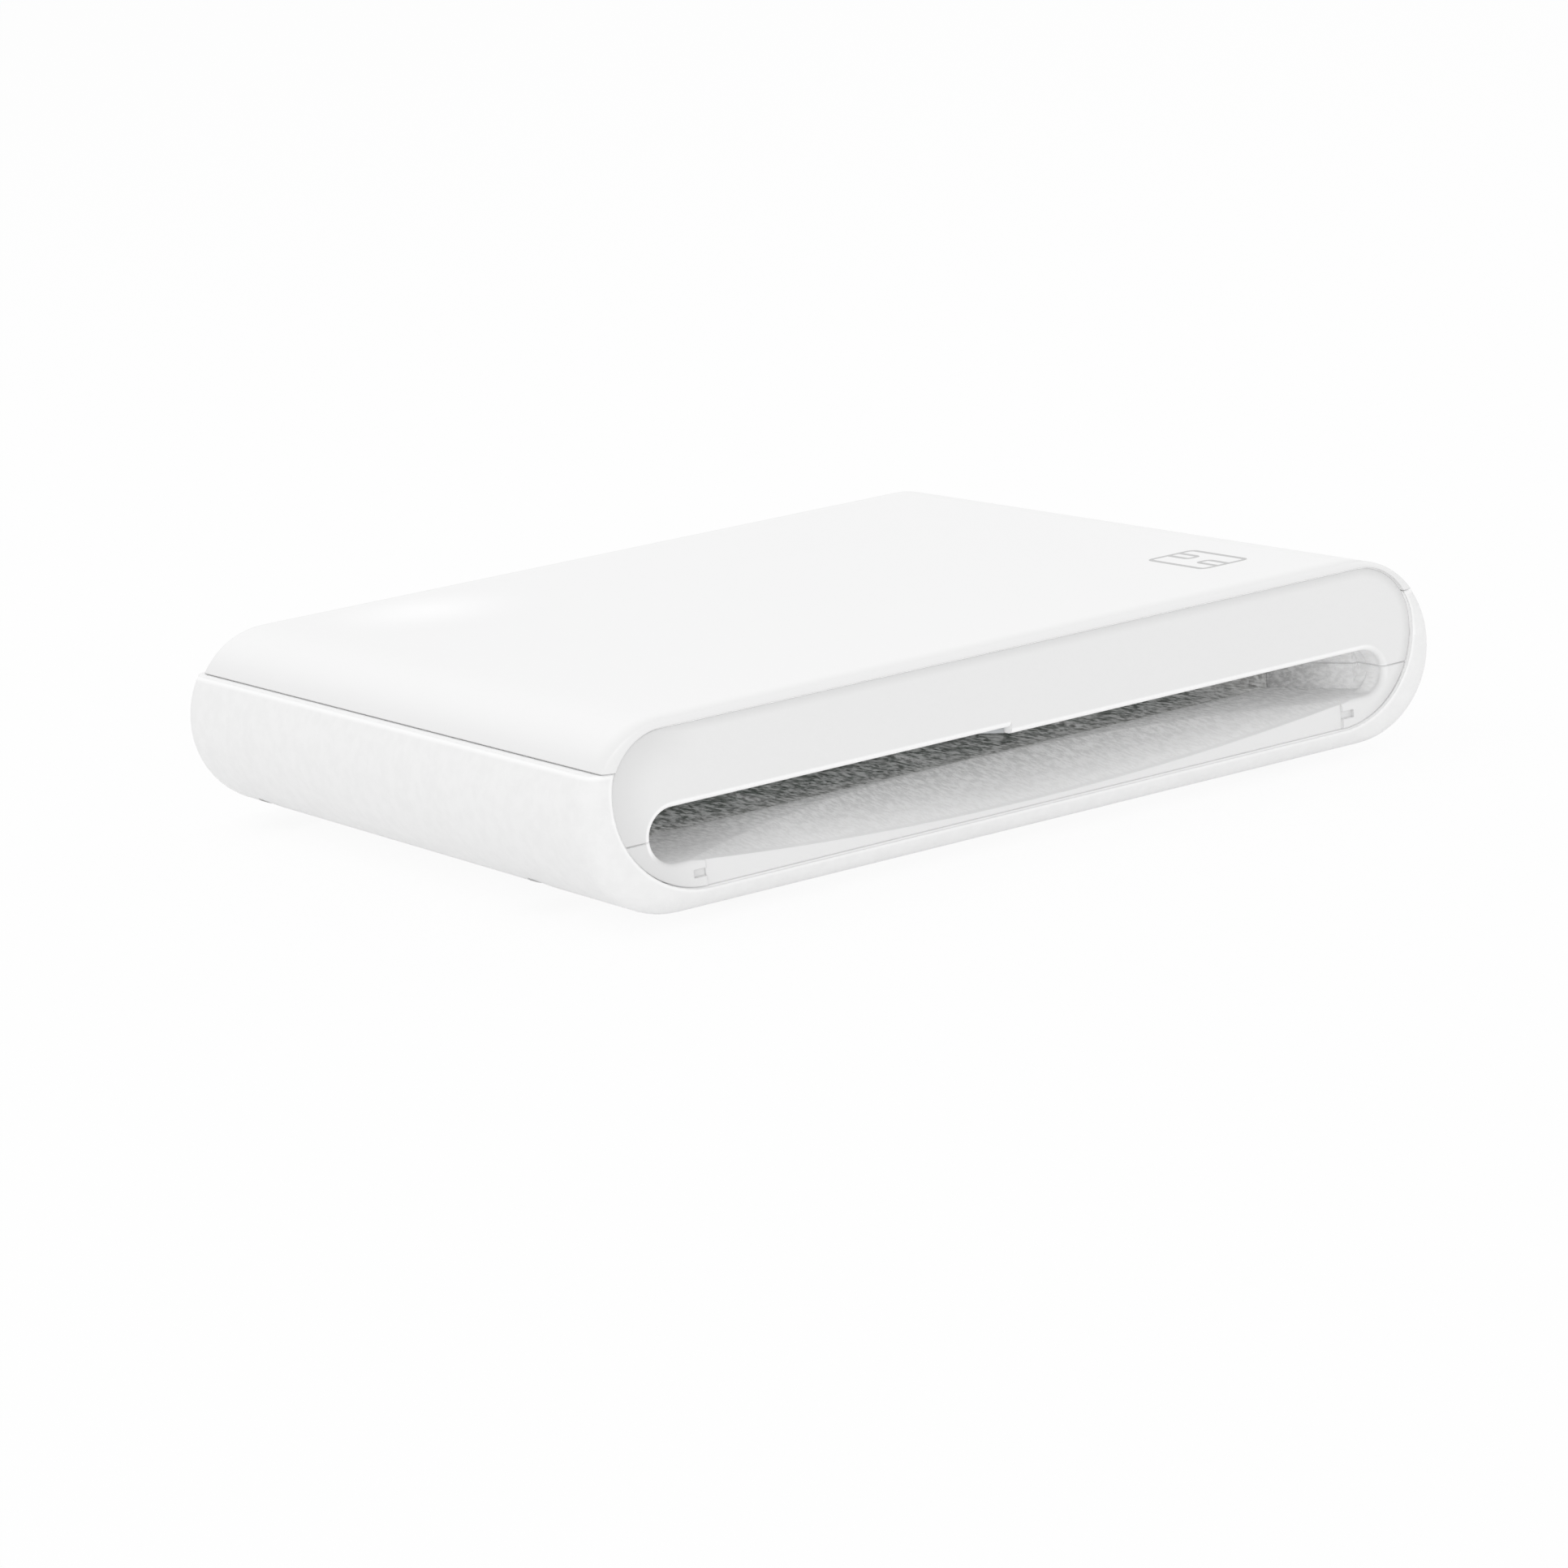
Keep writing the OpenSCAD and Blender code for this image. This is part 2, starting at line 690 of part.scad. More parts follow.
module card_tray() color([0.85, 0.85, 0.85]) difference() {
    union() {
        span([-rail_out, tray_y, card_z - tray_t], [rail_out, tray_back_y, card_z]);
        both_sides() {
            span([channel_half, tray_y, card_z], [rail_out, tray_back_y, channel_z + hook_t]);
            along_x(channel_half - rail_hook, rail_hook + fit)
                polygon([[tray_y + hook_lead, channel_z], [stop_y, channel_z], [stop_y, channel_z + hook_t],
                         [tray_y, channel_z + hook_t], [tray_y, channel_z + hook_t - lead_step]]);
        }
        span([-channel_half, stop_y, card_z], [channel_half, tray_back_y, card_z + stop_h]);
        for (i = [0 : rib_count - 1])
            translate([(2 * i / (rib_count - 1) - 1) * (rail_out - rib_t / 2), 0, 0])
                span([-rib_t / 2, tray_y, floor_z], [rib_t / 2, tray_back_y, card_z - tray_t]);
    }
    at_corners(tray_peg_x, tray_peg_ys)
        translate([0, 0, floor_z]) cylinder(d = tray_peg_d + 2 * fit, h = tray_rib_h + tray_peg_h + fit);
    // Window for the switch's leaf
    span([switch_x - leaf_w / 2 - pocket_gap, stop_y - overrun, card_z],
         [switch_x + leaf_w / 2 + pocket_gap, tray_back_y + overrun, card_z + stop_h + overrun]);
    // Shallow troughs leave runners that the card slides on
    for (i = [0 : rib_count - 2])
        translate([((2 * i + 1) / (rib_count - 1) - 1) * channel_half, 0, 0])
            span([-channel_half / rib_count, tray_y + groove_end, card_z - groove_t],
                 [channel_half / rib_count, stop_y - groove_end, card_z + overrun]);
}

// A contact arm from its bend at the origin, back and down to the bead at its tip
module contact_arm() {
    half = arm_w / 2;
    sink = arm_len * sin(arm_slope);
    translate([-half, 0, 0]) rotate([0, 90, 0]) cylinder(d = bend_d, h = arm_w, $fn = 32);
    rotate([-arm_slope, 0, 0]) span([-half, 0, -arm_t / 2], [half, arm_len, arm_t / 2]);
    translate([-half, arm_run, -sink]) rotate([0, 90, 0]) cylinder(r = tip_r, h = arm_w, $fn = 32);
    translate([0, arm_run, -sink]) rotate([arm_slope + tip_kick, 0, 0])
        span([-half, 0, -arm_t / 2], [half, 2 * tip_r, arm_t / 2]);
}

// Places of the bends of one row of contacts
module contact_row(from_stop) {
    for (i = [0 : row_count - 1])
        translate([row_x(i), stop_y - from_stop - arm_run, pivot_z]) children();
}

module front_contacts() color([0.85, 0.7, 0.35]) contact_row(near_row) contact_arm();
module rear_contacts() color([0.85, 0.7, 0.35]) contact_row(far_row) contact_arm();

// Fixed foot of a contact: a level strip ahead of its bend and a tail up through the board
module contact_tail() {
    half = arm_w / 2;
    span([-half, -tail_len, -arm_t / 2], [half, -bend_d / 2 - fit, arm_t / 2]);
    span([-half / 2, -tail_len, -arm_t / 2], [half / 2, arm_t - tail_len, board_top + arm_t - pivot_z]);
}

module contact_tails() color([0.8, 0.75, 0.6])
    for (row = [near_row, far_row]) contact_row(row) contact_tail();

// Room for one arm, its foot and its tail, measured from the bend
module contact_pocket() {
    half = arm_w / 2;
    span([-half - pocket_gap, -fit, block_z - overrun - pivot_z],
         [half + pocket_gap, arm_run + tip_room, board_z - pocket_roof - pivot_z]);
    span([-half - fit, -tail_len - fit, -arm_t / 2 - fit], [half + fit, 0, arm_t / 2 + fit]);
    span([-half / 2 - fit, -tail_len - fit, 0], [half / 2 + fit, arm_t + fit - tail_len, block_h]);
}

module contact_block() color([0.12, 0.12, 0.13]) difference() {
    middle = (block_front + block_back) / 2;
    union() {
        translate([row_shift, middle, block_z]) linear_extrude(block_h)
            rounded_rect(block_w, block_back - block_front, block_r);
        translate([row_shift, middle, board_z - wing_h]) linear_extrude(wing_h)
            rounded_rect(block_w + 2 * block_wing, (block_back - block_front) / 2, block_r);
        for (side = [-1, 1])
            translate([row_shift + side * peg_x, middle, board_z - wing_h])
                cylinder(d = peg_d, h = wing_h + board_t + fit);
    }
    for (row = [near_row, far_row]) contact_row(row) contact_pocket();
}

// The leaf turns on its pin under the board and leans into the card's way
module switch_leaf() color([0.8, 0.75, 0.6]) {
    bend_z = leaf_low_z + leaf_reach;
    near = leaf_y - leaf_t / 2;
    far = leaf_y + leaf_t / 2;
    along_x(switch_x - leaf_w / 2, leaf_w)
        polygon([[near, leaf_top_z], [near, bend_z], [near - leaf_reach, leaf_low_z],
                 [far - leaf_reach, leaf_low_z], [far, bend_z], [far, leaf_top_z]]);
    along_x(switch_x - switch_w / 2 + fit, switch_w - 2 * fit)
        translate([leaf_y, leaf_top_z]) circle(d = leaf_pin_d);
}

// Base behind the blade, with an ear on each side of the leaf for the leaf's pin
module switch_base() color([0.12, 0.12, 0.13]) difference() {
    y0 = blade_y + leaf_t;
    union() {
        span([switch_x - switch_w / 2, y0, board_z - blade_h - leaf_t],
             [switch_x + switch_w / 2, y0 + switch_d, board_z]);
        for (side = [0, 1]) translate([switch_x, 0, 0]) mirror([side, 0, 0])
            span([leaf_w / 2 + fit, leaf_y - ear_front, board_z - ear_h], [switch_w / 2, y0 + fit, board_z]);
    }
    along_x(switch_x - switch_w, 2 * switch_w) translate([leaf_y, leaf_top_z]) circle(d = leaf_pin_d + fit);
}

module switch_blade() color([0.8, 0.75, 0.6])
    span([switch_x - leaf_w / 2, blade_y, board_z - blade_h],
         [switch_x + leaf_w / 2, blade_y + leaf_t, board_z]);

module circuit_board() color([0.1, 0.35, 0.2]) difference() {
    translate([0, (board_y0 + board_y1) / 2, board_z]) linear_extrude(board_t)
        rounded_rect(board_w, board_y1 - board_y0, board_r);
    at_corners(board_screw_x, board_screw_ys)
        translate([0, 0, board_z - overrun]) cylinder(d = screw_d + 2 * fit, h = board_t + 2 * overrun);
    for (side = [-1, 1])
        translate([row_shift + side * peg_x, (block_front + block_back) / 2, board_z - overrun])
            cylinder(d = peg_d + fit, h = board_t + 2 * overrun);
    for (row = [near_row, far_row]) contact_row(row)
        translate([0, arm_t / 2 - tail_len, 0]) cylinder(d = arm_w, h = body_h);
}

// A flat package with a round mark in one corner
module chip_case(w, d, h) {
    difference() {
        translate([0, 0, h / 2]) cube([w, d, h], center = true);
        translate([mark_d - w / 2, mark_d - d / 2, h - mark_t]) cylinder(d = mark_d, h = overrun);
    }
}

// A gull wing leg from the package's side, at the origin, out along X and down
module gull_leg(h) {
    half = chip_leg_w / 2;
    mid = chip_leg_reach / 2;
    span([0, -half, h / 2 - leg_t / 2], [mid, half, h / 2 + leg_t / 2]);
    span([mid - leg_t, -half, 0], [mid, half, h / 2]);
    span([mid, -half, 0], [chip_leg_reach, half, leg_t]);
}

module controller_chip() color([0.1, 0.1, 0.1])
    translate([chip_x, chip_y, board_top]) chip_case(chip_w, chip_w, chip_h);

module memory_chip() color([0.1, 0.1, 0.1])
    translate([store_x, store_y, board_top]) chip_case(store_w, store_d, store_h);

module chip_leads() color([0.8, 0.8, 0.8]) {
    for (turn = [0 : 90 : 270], i = [0 : chip_leg_count - 1])
        translate([chip_x, chip_y, board_top]) rotate(turn)
            translate([chip_w / 2, (i - (chip_leg_count - 1) / 2) * chip_leg_pitch, 0]) gull_leg(chip_h);
    for (turn = [90, 270], i = [0 : store_leg_count - 1])
        translate([store_x, store_y, board_top]) rotate(turn)
            translate([store_d / 2, (i - (store_leg_count - 1) / 2) * store_leg_pitch, 0]) gull_leg(store_h);
    for (i = [-1 : 1])
        translate([power_x, power_y, board_top]) rotate(270)
            translate([power_d / 2, i * chip_leg_reach, 0]) gull_leg(power_h);
    translate([power_x, power_y, board_top]) rotate(90) translate([power_d / 2, 0, 0]) gull_leg(power_h);
}

module regulator() color([0.1, 0.1, 0.1])
    translate([power_x, power_y, board_top]) chip_case(power_w, power_d, power_h);

module crystal() color([0.78, 0.78, 0.8])
    translate([crystal_x, crystal_y, board_top]) {
        linear_extrude(crystal_h / 3) rounded_rect(crystal_w, crystal_d, small_w / 2);
        linear_extrude(crystal_h) rounded_rect(crystal_w - small_w, crystal_d - small_w, small_w / 2);
    }

// Places of the small parts: along the chip's sides and near the socket
cap_places = [for (i = [0 : 3]) [chip_x + (i - 1.5) * small_step, chip_y + chip_w],
              for (i = [0 : 2]) [power_x + power_w + small_w, power_y - store_h + i * small_l],
              for (i = [0 : 1]) [crystal_x, crystal_y + (2 * i - 1) * crystal_w]];
res_places = [for (i = [0 : 3]) [chip_x + (i - 1.5) * small_step, chip_y - chip_w],
              for (i = [0 : 2]) [store_x + store_w, store_y + (i - 1) * small_l],
              for (i = [0 : 1]) [window_x + (2 * i - 1) * small_step, board_y0 + 2 * small_step]];

module capacitors() color([0.7, 0.58, 0.42])
    for (p = cap_places) translate([p[0], p[1], board_top + small_h / 2])
        cube([small_l - 2 * cap_end, small_w, small_h], center = true);

module resistors() color([0.1, 0.1, 0.1])
    for (p = res_places) translate([p[0], p[1], board_top + small_h / 4])
        cube([small_l - 2 * cap_end, small_w, small_h / 2], center = true);

module terminations() color([0.8, 0.8, 0.8])
    for (side = [-1, 1]) {
        for (p = cap_places)
            translate([p[0] + side * (small_l - cap_end) / 2, p[1], board_top + small_h / 2])
                cube([cap_end, small_w, small_h], center = true);
        for (p = res_places)
            translate([p[0] + side * (small_l - cap_end) / 2, p[1], board_top + small_h / 4])
                cube([cap_end, small_w, small_h / 2], center = true);
    }

module status_light() color([0.9, 0.9, 0.8])
    span([window_x - lamp_w / 2, board_y0 + fit, board_top],
         [window_x + lamp_w / 2, board_y0 + lamp_l, board_top + lamp_h]);

module usb_shell() color([0.78, 0.78, 0.8]) {
    translate([0, 0, usb_z]) {
        along_y(usb_y0, usb_len) difference() {
            round_bar(usb_w, usb_h);
            round_bar(usb_w - 2 * usb_wall, usb_h - 2 * usb_wall);
        }
        along_y(usb_y0, usb_wall) round_bar(usb_w, usb_h);
    }
    // Feet soldered to the board
    both_sides()
        span([usb_w / 2 - usb_h / 2, usb_y0 + usb_foot_l, board_z - usb_wall],
             [usb_w / 2 + usb_foot_w, usb_y0 + 2 * usb_foot_l, board_z]);
}

module usb_tongue() color([0.12, 0.12, 0.13])
    translate([0, 0, usb_z]) {
        along_y(usb_y0 + usb_wall + fit, usb_base)
            round_bar(usb_w - 2 * usb_wall - 2 * fit, usb_h - 2 * usb_wall - 2 * fit);
        along_y(usb_y0 + usb_base, usb_len - usb_base - usb_tongue_back)
            square([tongue_w, usb_tongue_t], center = true);
    }

module usb_contacts() color([0.85, 0.7, 0.35])
    for (face = [0, 1], i = [0 : pad_count - 1])
        translate([(i - (pad_count - 1) / 2) * pad_pitch, 0, usb_z]) mirror([0, 0, face])
            span([-pad_w / 2, usb_y0 + usb_wall + usb_base + fit, usb_tongue_t / 2],
                 [pad_w / 2, usb_y1 - 2 * usb_tongue_back, usb_tongue_t / 2 + pad_t]);

// A pan head screw, head down and shank up, with a cross recess in the head
module pan_screw(length) {
    difference() {
        union() {
            cylinder(d1 = head_d - head_h, d2 = head_d, h = head_h / 2);
            translate([0, 0, head_h / 2]) cylinder(d = head_d, h = head_h / 2);
        }
        for (turn = [0, 90])
            rotate(turn) translate([-head_d / 3, -head_d / 12, -overrun])
                cube([2 * head_d / 3, head_d / 6, head_h / 2 + overrun]);
    }
    translate([0, 0, head_h]) cylinder(d = screw_d, h = length - screw_d / 2);
    translate([0, 0, head_h + length - screw_d / 2])
        cylinder(d1 = screw_d, d2 = screw_d / 2, h = screw_d / 2);
}

module board_screws() color([0.75, 0.75, 0.76])
    at_corners(board_screw_x, board_screw_ys)
        translate([0, 0, board_z - head_h]) pan_screw(ceiling_z - board_z - fit);

module case_screws() color([0.75, 0.75, 0.76])
    at_corners(case_screw_x, case_screw_ys)
        translate([0, 0, head_seat_z - head_h]) pan_screw(case_screw_len);

module rubber_feet() color([0.3, 0.3, 0.3])
    at_corners(foot_x, [-foot_y, foot_y]) {
        cylinder(d1 = foot_d - foot_h, d2 = foot_d, h = foot_h / 2);
        translate([0, 0, foot_h / 2]) cylinder(d = foot_d, h = foot_h / 2 + foot_seat);
    }

top_cover();
bottom_shell();
front_bezel();
lower_bezel();
light_pipe();
card_tray();
contact_block();
front_contacts();
rear_contacts();
contact_tails();
switch_base();
switch_leaf();
switch_blade();
circuit_board();
controller_chip();
memory_chip();
chip_leads();
regulator();
crystal();
capacitors();
resistors();
terminations();
status_light();
usb_shell();
usb_tongue();
usb_contacts();
board_screws();
case_screws();
rubber_feet();
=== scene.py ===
import math

import bmesh
import bpy
from mathutils import Matrix, Vector


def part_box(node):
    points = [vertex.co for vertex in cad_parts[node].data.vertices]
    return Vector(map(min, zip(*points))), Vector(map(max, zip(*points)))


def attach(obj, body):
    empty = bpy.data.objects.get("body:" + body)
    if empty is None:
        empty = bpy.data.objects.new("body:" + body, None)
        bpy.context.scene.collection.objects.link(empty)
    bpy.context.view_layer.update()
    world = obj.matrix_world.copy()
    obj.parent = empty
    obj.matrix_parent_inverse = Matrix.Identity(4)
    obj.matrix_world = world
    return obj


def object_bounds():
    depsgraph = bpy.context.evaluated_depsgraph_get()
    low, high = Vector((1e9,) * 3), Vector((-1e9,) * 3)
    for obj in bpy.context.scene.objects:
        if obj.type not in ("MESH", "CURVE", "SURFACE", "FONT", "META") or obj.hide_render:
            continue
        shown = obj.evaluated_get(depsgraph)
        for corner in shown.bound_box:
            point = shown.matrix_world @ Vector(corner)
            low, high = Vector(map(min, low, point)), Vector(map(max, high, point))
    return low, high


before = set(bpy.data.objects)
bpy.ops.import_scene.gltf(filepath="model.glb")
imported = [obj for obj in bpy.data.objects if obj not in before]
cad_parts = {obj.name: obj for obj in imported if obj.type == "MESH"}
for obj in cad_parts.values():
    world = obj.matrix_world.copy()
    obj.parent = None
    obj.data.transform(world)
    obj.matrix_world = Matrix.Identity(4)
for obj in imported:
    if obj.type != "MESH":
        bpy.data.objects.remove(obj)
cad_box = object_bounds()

MM = 0.001

# The photograph's camera, fitted to the reader's edges: the frame and the focal length
# in pixels, angles in degrees and the eye's place in millimetres
FRAME_PX = 1932
FOCAL_PX = 6724.57
SENSOR_MM = 36
AZIMUTH, ELEVATION, ROLL = -30.62, 12.39, -6.12
EYE_MM = (-205.1, -342.9, 87.9)


def corners(node):
    """Lowest and highest corner of a CAD node, in millimetres."""
    return [tuple(v / MM for v in corner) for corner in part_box(node)]


# Places in millimetres that the materials and pieces follow, read from the frame
CASE_FRONT_Y = cad_box[0][1] / MM
CASE_TOP_Z = cad_box[1][2] / MM
SHELL_TOP_Z = corners("bottom_shell")[1][2]
PANEL_FRONT_Y = corners("front_bezel")[0][1]
PANEL_HALF_W, _, PANEL_TOP_Z = corners("front_bezel")[1]
TRAY_FRONT_Y = corners("card_tray")[0][1]
BOARD_TOP_Z = corners("circuit_board")[1][2]

# The front panel's foot and the radii of its corners, in millimetres
PANEL_FOOT_Z = 2.55
PANEL_FOOT_R, PANEL_TOP_R = 6.8, 4.4

# The card mouth, the step in its upper lip and the seam at half its height
MOUTH_HALF_W = 31.1
MOUTH_LOW_Z, MOUTH_HIGH_Z = 4.5, 8.4
STEP_X, LIP_DROP = -1.5, 0.5
SPLIT_Z = (MOUTH_LOW_Z + MOUTH_HIGH_Z) / 2

# Height of a screw's head, and how far its thread climbs in one turn
SCREW_HEAD_H, SCREW_PITCH = 1.2, 0.45

# How far the sign, tracks and printed lines are sunk in what they lie on
STRIP_SUNK = 0.01


class Wire:
    """An output of a shader node that takes part in Python sums as a Math node."""

    def __init__(self, graph, socket):
        self.graph, self.socket = graph, socket

    def calc(self, operation, *values):
        return self.graph.node("Math", {"operation": operation}, dict(enumerate(values)))

    def __add__(self, other):
        return self.calc("ADD", self, other)

    def __radd__(self, other):
        return self.calc("ADD", other, self)

    def __sub__(self, other):
        return self.calc("SUBTRACT", self, other)

    def __rsub__(self, other):
        return self.calc("SUBTRACT", other, self)

    def __mul__(self, other):
        return self.calc("MULTIPLY", self, other)

    def __rmul__(self, other):
        return self.calc("MULTIPLY", other, self)

    def __truediv__(self, other):
        return self.calc("DIVIDE", self, other)

    def __rtruediv__(self, other):
        return self.calc("DIVIDE", other, self)

    def __abs__(self):
        return self.calc("ABSOLUTE", self)

    def __lt__(self, other):
        return self.calc("LESS_THAN", self, other)

    def __gt__(self, other):
        return self.calc("GREATER_THAN", self, other)

    def most(self, other):
        return self.calc("MAXIMUM", self, other)

    def least(self, other):
        return self.calc("MINIMUM", self, other)

    def root(self):
        return self.calc("SQRT", self)

    def sine(self):
        return self.calc("SINE", self)

    def between(self, low, high):
        """0 to 1 spread over low to high."""
        return low + self * (high - low)

    def ramp(self, low, high):
        """0 up to low, 1 from high on and smooth between; with high under low it falls."""
        settings = {"interpolation_type": "SMOOTHSTEP"}
        limits = {"Value": self, "From Min": low, "From Max": high}
        return self.graph.node("MapRange", settings, limits)


class Graph:
    """The node tree of one material, or of the world."""

    def __init__(self, name, kept_in=bpy.data.materials):
        self.owner = kept_in.new(name)
        self.owner.use_nodes = True
        self.tree = self.owner.node_tree
        self.tree.nodes.clear()
        self.point = None

    def node(self, kind, settings=None, inputs=None, output=0):
        """A shader node: its type, its settings, and the values or wires on its inputs."""
        made = self.tree.nodes.new("ShaderNode" + kind)
        for key, value in (settings or {}).items():
            setattr(made, key, value)
        for key, value in (inputs or {}).items():
            if isinstance(value, Wire):
                self.tree.links.new(value.socket, made.inputs[key])
            else:
                made.inputs[key].default_value = value
        return Wire(self, made.outputs[output]) if made.outputs else None

    def place(self):
        """The point on the piece, in millimetres of the shared frame."""
        if self.point is None:
            metres = self.node("TexCoord", output="Object")
            scaling = {0: metres, "Scale": 1 / MM}
            self.point = self.node("VectorMath", {"operation": "SCALE"}, scaling)
        return self.point

    def axes(self):
        """The point's x, y and z on their own."""
        return [self.node("SeparateXYZ", inputs={0: self.place()}, output=axis) for axis in "XYZ"]

    def facing(self, axis):
        """How far the surface faces along an axis, from -1 to 1."""
        normal = self.node("NewGeometry", output="Normal")
        return self.node("SeparateXYZ", inputs={0: normal}, output=axis)

    def stretched(self, x=1.0, y=1.0, z=1.0):
        """The point with its axes scaled: under 1 draws a pattern out along an axis."""
        factors = {0: self.place(), 1: (x, y, z)}
        return self.node("VectorMath", {"operation": "MULTIPLY"}, factors)

    def noise(self, size, detail=2.0, rough=0.5, at=None):
        """Soft noise from 0 to 1 whose features are about size millimetres wide."""
        inputs = {"Vector": at or self.place(), "Scale": 1 / size}
        inputs.update({"Detail": detail, "Roughness": rough})
        return self.node("TexNoise", inputs=inputs, output="Fac")

    def cells(self, size, at=None):
        """Distance from 0 to about 1 to the nearest of points about size millimetres apart."""
        inputs = {"Vector": at or self.place(), "Scale": 1 / size}
        return self.node("TexVoronoi", inputs=inputs, output="Distance")

    def blend(self, share, first, second):
        """A colour between two colours."""
        return self.node("Mix", {"data_type": "RGBA"}, {0: share, 6: first, 7: second}, output=2)

    def greys(self, share, dark, light):
        """A grey between two tones."""
        return self.blend(share, grey(dark), grey(light))

    def bump(self, height, depth, under):
        """A normal from a height of 0 to 1 that stands for depth millimetres."""
        inputs = {"Height": height, "Distance": depth * MM, "Strength": 1.0, "Normal": under}
        return self.node("Bump", inputs=inputs)

    def soft_edge(self, radius):
        """A normal that rounds sharp edges off by a radius in millimetres."""
        return self.node("Bevel", {"samples": 6}, {"Radius": radius * MM})

    def outline(self, across, up, half_w, half_h, radius):
        """Distance in millimetres from a round-cornered outline, positive outside it."""
        side = abs(across) - half_w + radius
        rise = abs(up) - half_h + radius
        out_side, out_rise = side.most(0), rise.most(0)
        corner = (out_side * out_side + out_rise * out_rise).root()
        return corner + side.most(rise).least(0) - radius

    def finish(self, **inputs):
        """The one shader, with values and wires by its socket names, spaces as underscores."""
        named = {key.replace("_", " "): value for key, value in inputs.items()}
        shader = self.node("BsdfPrincipled", inputs=named)
        self.node("OutputMaterial", inputs={"Surface": shader})
        return self.owner


def grey(value):
    return (value, value, value, 1.0)


def panel_edge(g):
    """Distance from the front panel's outline, positive outside it."""
    x, _, z = g.axes()
    middle = (PANEL_FOOT_Z + PANEL_TOP_Z) / 2
    radius = (z > middle) * (PANEL_TOP_R - PANEL_FOOT_R) + PANEL_FOOT_R
    return g.outline(x, z - middle, PANEL_HALF_W, PANEL_TOP_Z - middle, radius)


def mouth_edge(g):
    """Distance from the card mouth's outline, positive outside it."""
    x, _, z = g.axes()
    half_h = (MOUTH_HIGH_Z - MOUTH_LOW_Z - (x > STEP_X) * LIP_DROP) / 2
    return g.outline(x, z - MOUTH_LOW_Z - half_h, MOUTH_HALF_W, half_h, half_h)


def behind_face(y):
    """0 on the front panel's face and 1 behind it."""
    skin_t = 0.04
    return y.ramp(PANEL_FRONT_Y, PANEL_FRONT_Y + skin_t)


def painted_gap_glow(g):
    """Painted glow that lightens the narrow gap round the front panel, most of
    it high up and less at the panel's ends."""
    gap_middle, gap_out, gap_in = 0.04, 0.1, 0.06
    back, back_fade = 2.5, 2.2
    low_z, high_z, low_share = 4, 11, 0.25
    inner_x, end_x, end_share = 28, 32, 0.4
    x, y, z = g.axes()
    gap = abs(panel_edge(g) - gap_middle).ramp(gap_out, gap_in)
    along = behind_face(y) * y.ramp(PANEL_FRONT_Y + back, PANEL_FRONT_Y + back_fade)
    rise = z.ramp(low_z, high_z).between(low_share, 1)
    reach = rise * abs(x).ramp(end_x, inner_x).between(end_share, 1)
    # Painted glow: emission that makes the gap round the panel look lit
    return g.greys(gap * along * reach, dark=0.0, light=0.4)


def cover_white():
    """Smooth, slightly glossy moulding with a faint flow mottle, with painted shade down its
    sides and near its front edge.
    """
    front_reach, flat_up, steep_up = 2.6, 0.97, 0.35
    side_shade_tone, front_shade_tone = 0.79, 0.85
    g = Graph("cover_white")
    _, y, _ = g.axes()
    flow = g.noise(size=9)
    peel = g.noise(size=0.6, rough=0.4)
    # Painted shade: grey blended in near the front edge and down the steep sides
    front = y.ramp(CASE_FRONT_Y + front_reach, CASE_FRONT_Y)
    side = g.facing("Z").ramp(flat_up, steep_up)
    top = g.greys(flow, dark=0.945, light=0.952)
    return g.finish(
        Base_Color=g.blend(front, g.blend(side, top, grey(side_shade_tone)), grey(front_shade_tone)),
        Roughness=peel.between(0.28, 0.34),
        Coat_Weight=0.15,
        Coat_Roughness=0.12,
        Emission_Color=painted_gap_glow(g),
        Emission_Strength=1.0,
        Normal=g.bump(peel, depth=0.0006, under=g.soft_edge(0.12)))


def shell_white():
    """Spark-eroded moulding: a fine pitted grain, with a painted highlight on the ledge at its
    top and on its rim round the front panel.
    """
    ledge_from, ledge_full = 0.42, 0.12
    rim_out, rim_in = 0.42, 0.1
    rim_back, rim_fade = 0.6, 0.2
    highlight_tone = 0.99
    g = Graph("shell_white")
    _, y, z = g.axes()
    pits = g.noise(size=0.22, detail=3, rough=0.6)
    mottle = g.noise(size=1.1, detail=3, rough=0.55).ramp(0.3, 0.7)
    # Painted highlight: near-white grey on the top ledge and on the rim round the panel
    ledge_highlight = z.ramp(SHELL_TOP_Z - ledge_from, SHELL_TOP_Z - ledge_full)
    at_front = y.ramp(CASE_FRONT_Y + rim_back, CASE_FRONT_Y + rim_fade)
    wear_and_highlight = ledge_highlight.most(panel_edge(g).ramp(rim_out, rim_in) * at_front)
    plain = g.greys(mottle, dark=0.87, light=0.895)
    return g.finish(
        Base_Color=g.blend(wear_and_highlight, plain, grey(highlight_tone)),
        Roughness=pits.between(0.5, 0.64),
        Specular_IOR_Level=0.4,
        Emission_Color=painted_gap_glow(g),
        Emission_Strength=1.0,
        Normal=g.bump(pits, depth=0.012, under=g.soft_edge(0.25)))


def panel_face(g, fine):
    """The panel's outside: plain, with painted shade under the cover and at its ends."""
    rim, brow_w, end_w = 0.05, 0.8, 3.5
    brow_low_z, brow_high_z = 6, 11
    right_from, right_full = 28, 32
    left_from, left_full = -26, -31
    shade_tone = 0.75
    x, _, z = g.axes()
    # Painted shade: the face darkens under the cover's brow, at its right end and at its left end
    brow_reach = z.ramp(brow_low_z, brow_high_z).most(x.ramp(right_from, right_full))
    brow_shade = panel_edge(g).ramp(-brow_w, -rim) * brow_reach
    left_end_shade = panel_edge(g).ramp(-end_w, -rim) * x.ramp(left_from, left_full)
    plain = g.greys(fine, dark=0.825, light=0.84)
    return g.blend(brow_shade.most(left_end_shade), plain, grey(shade_tone))


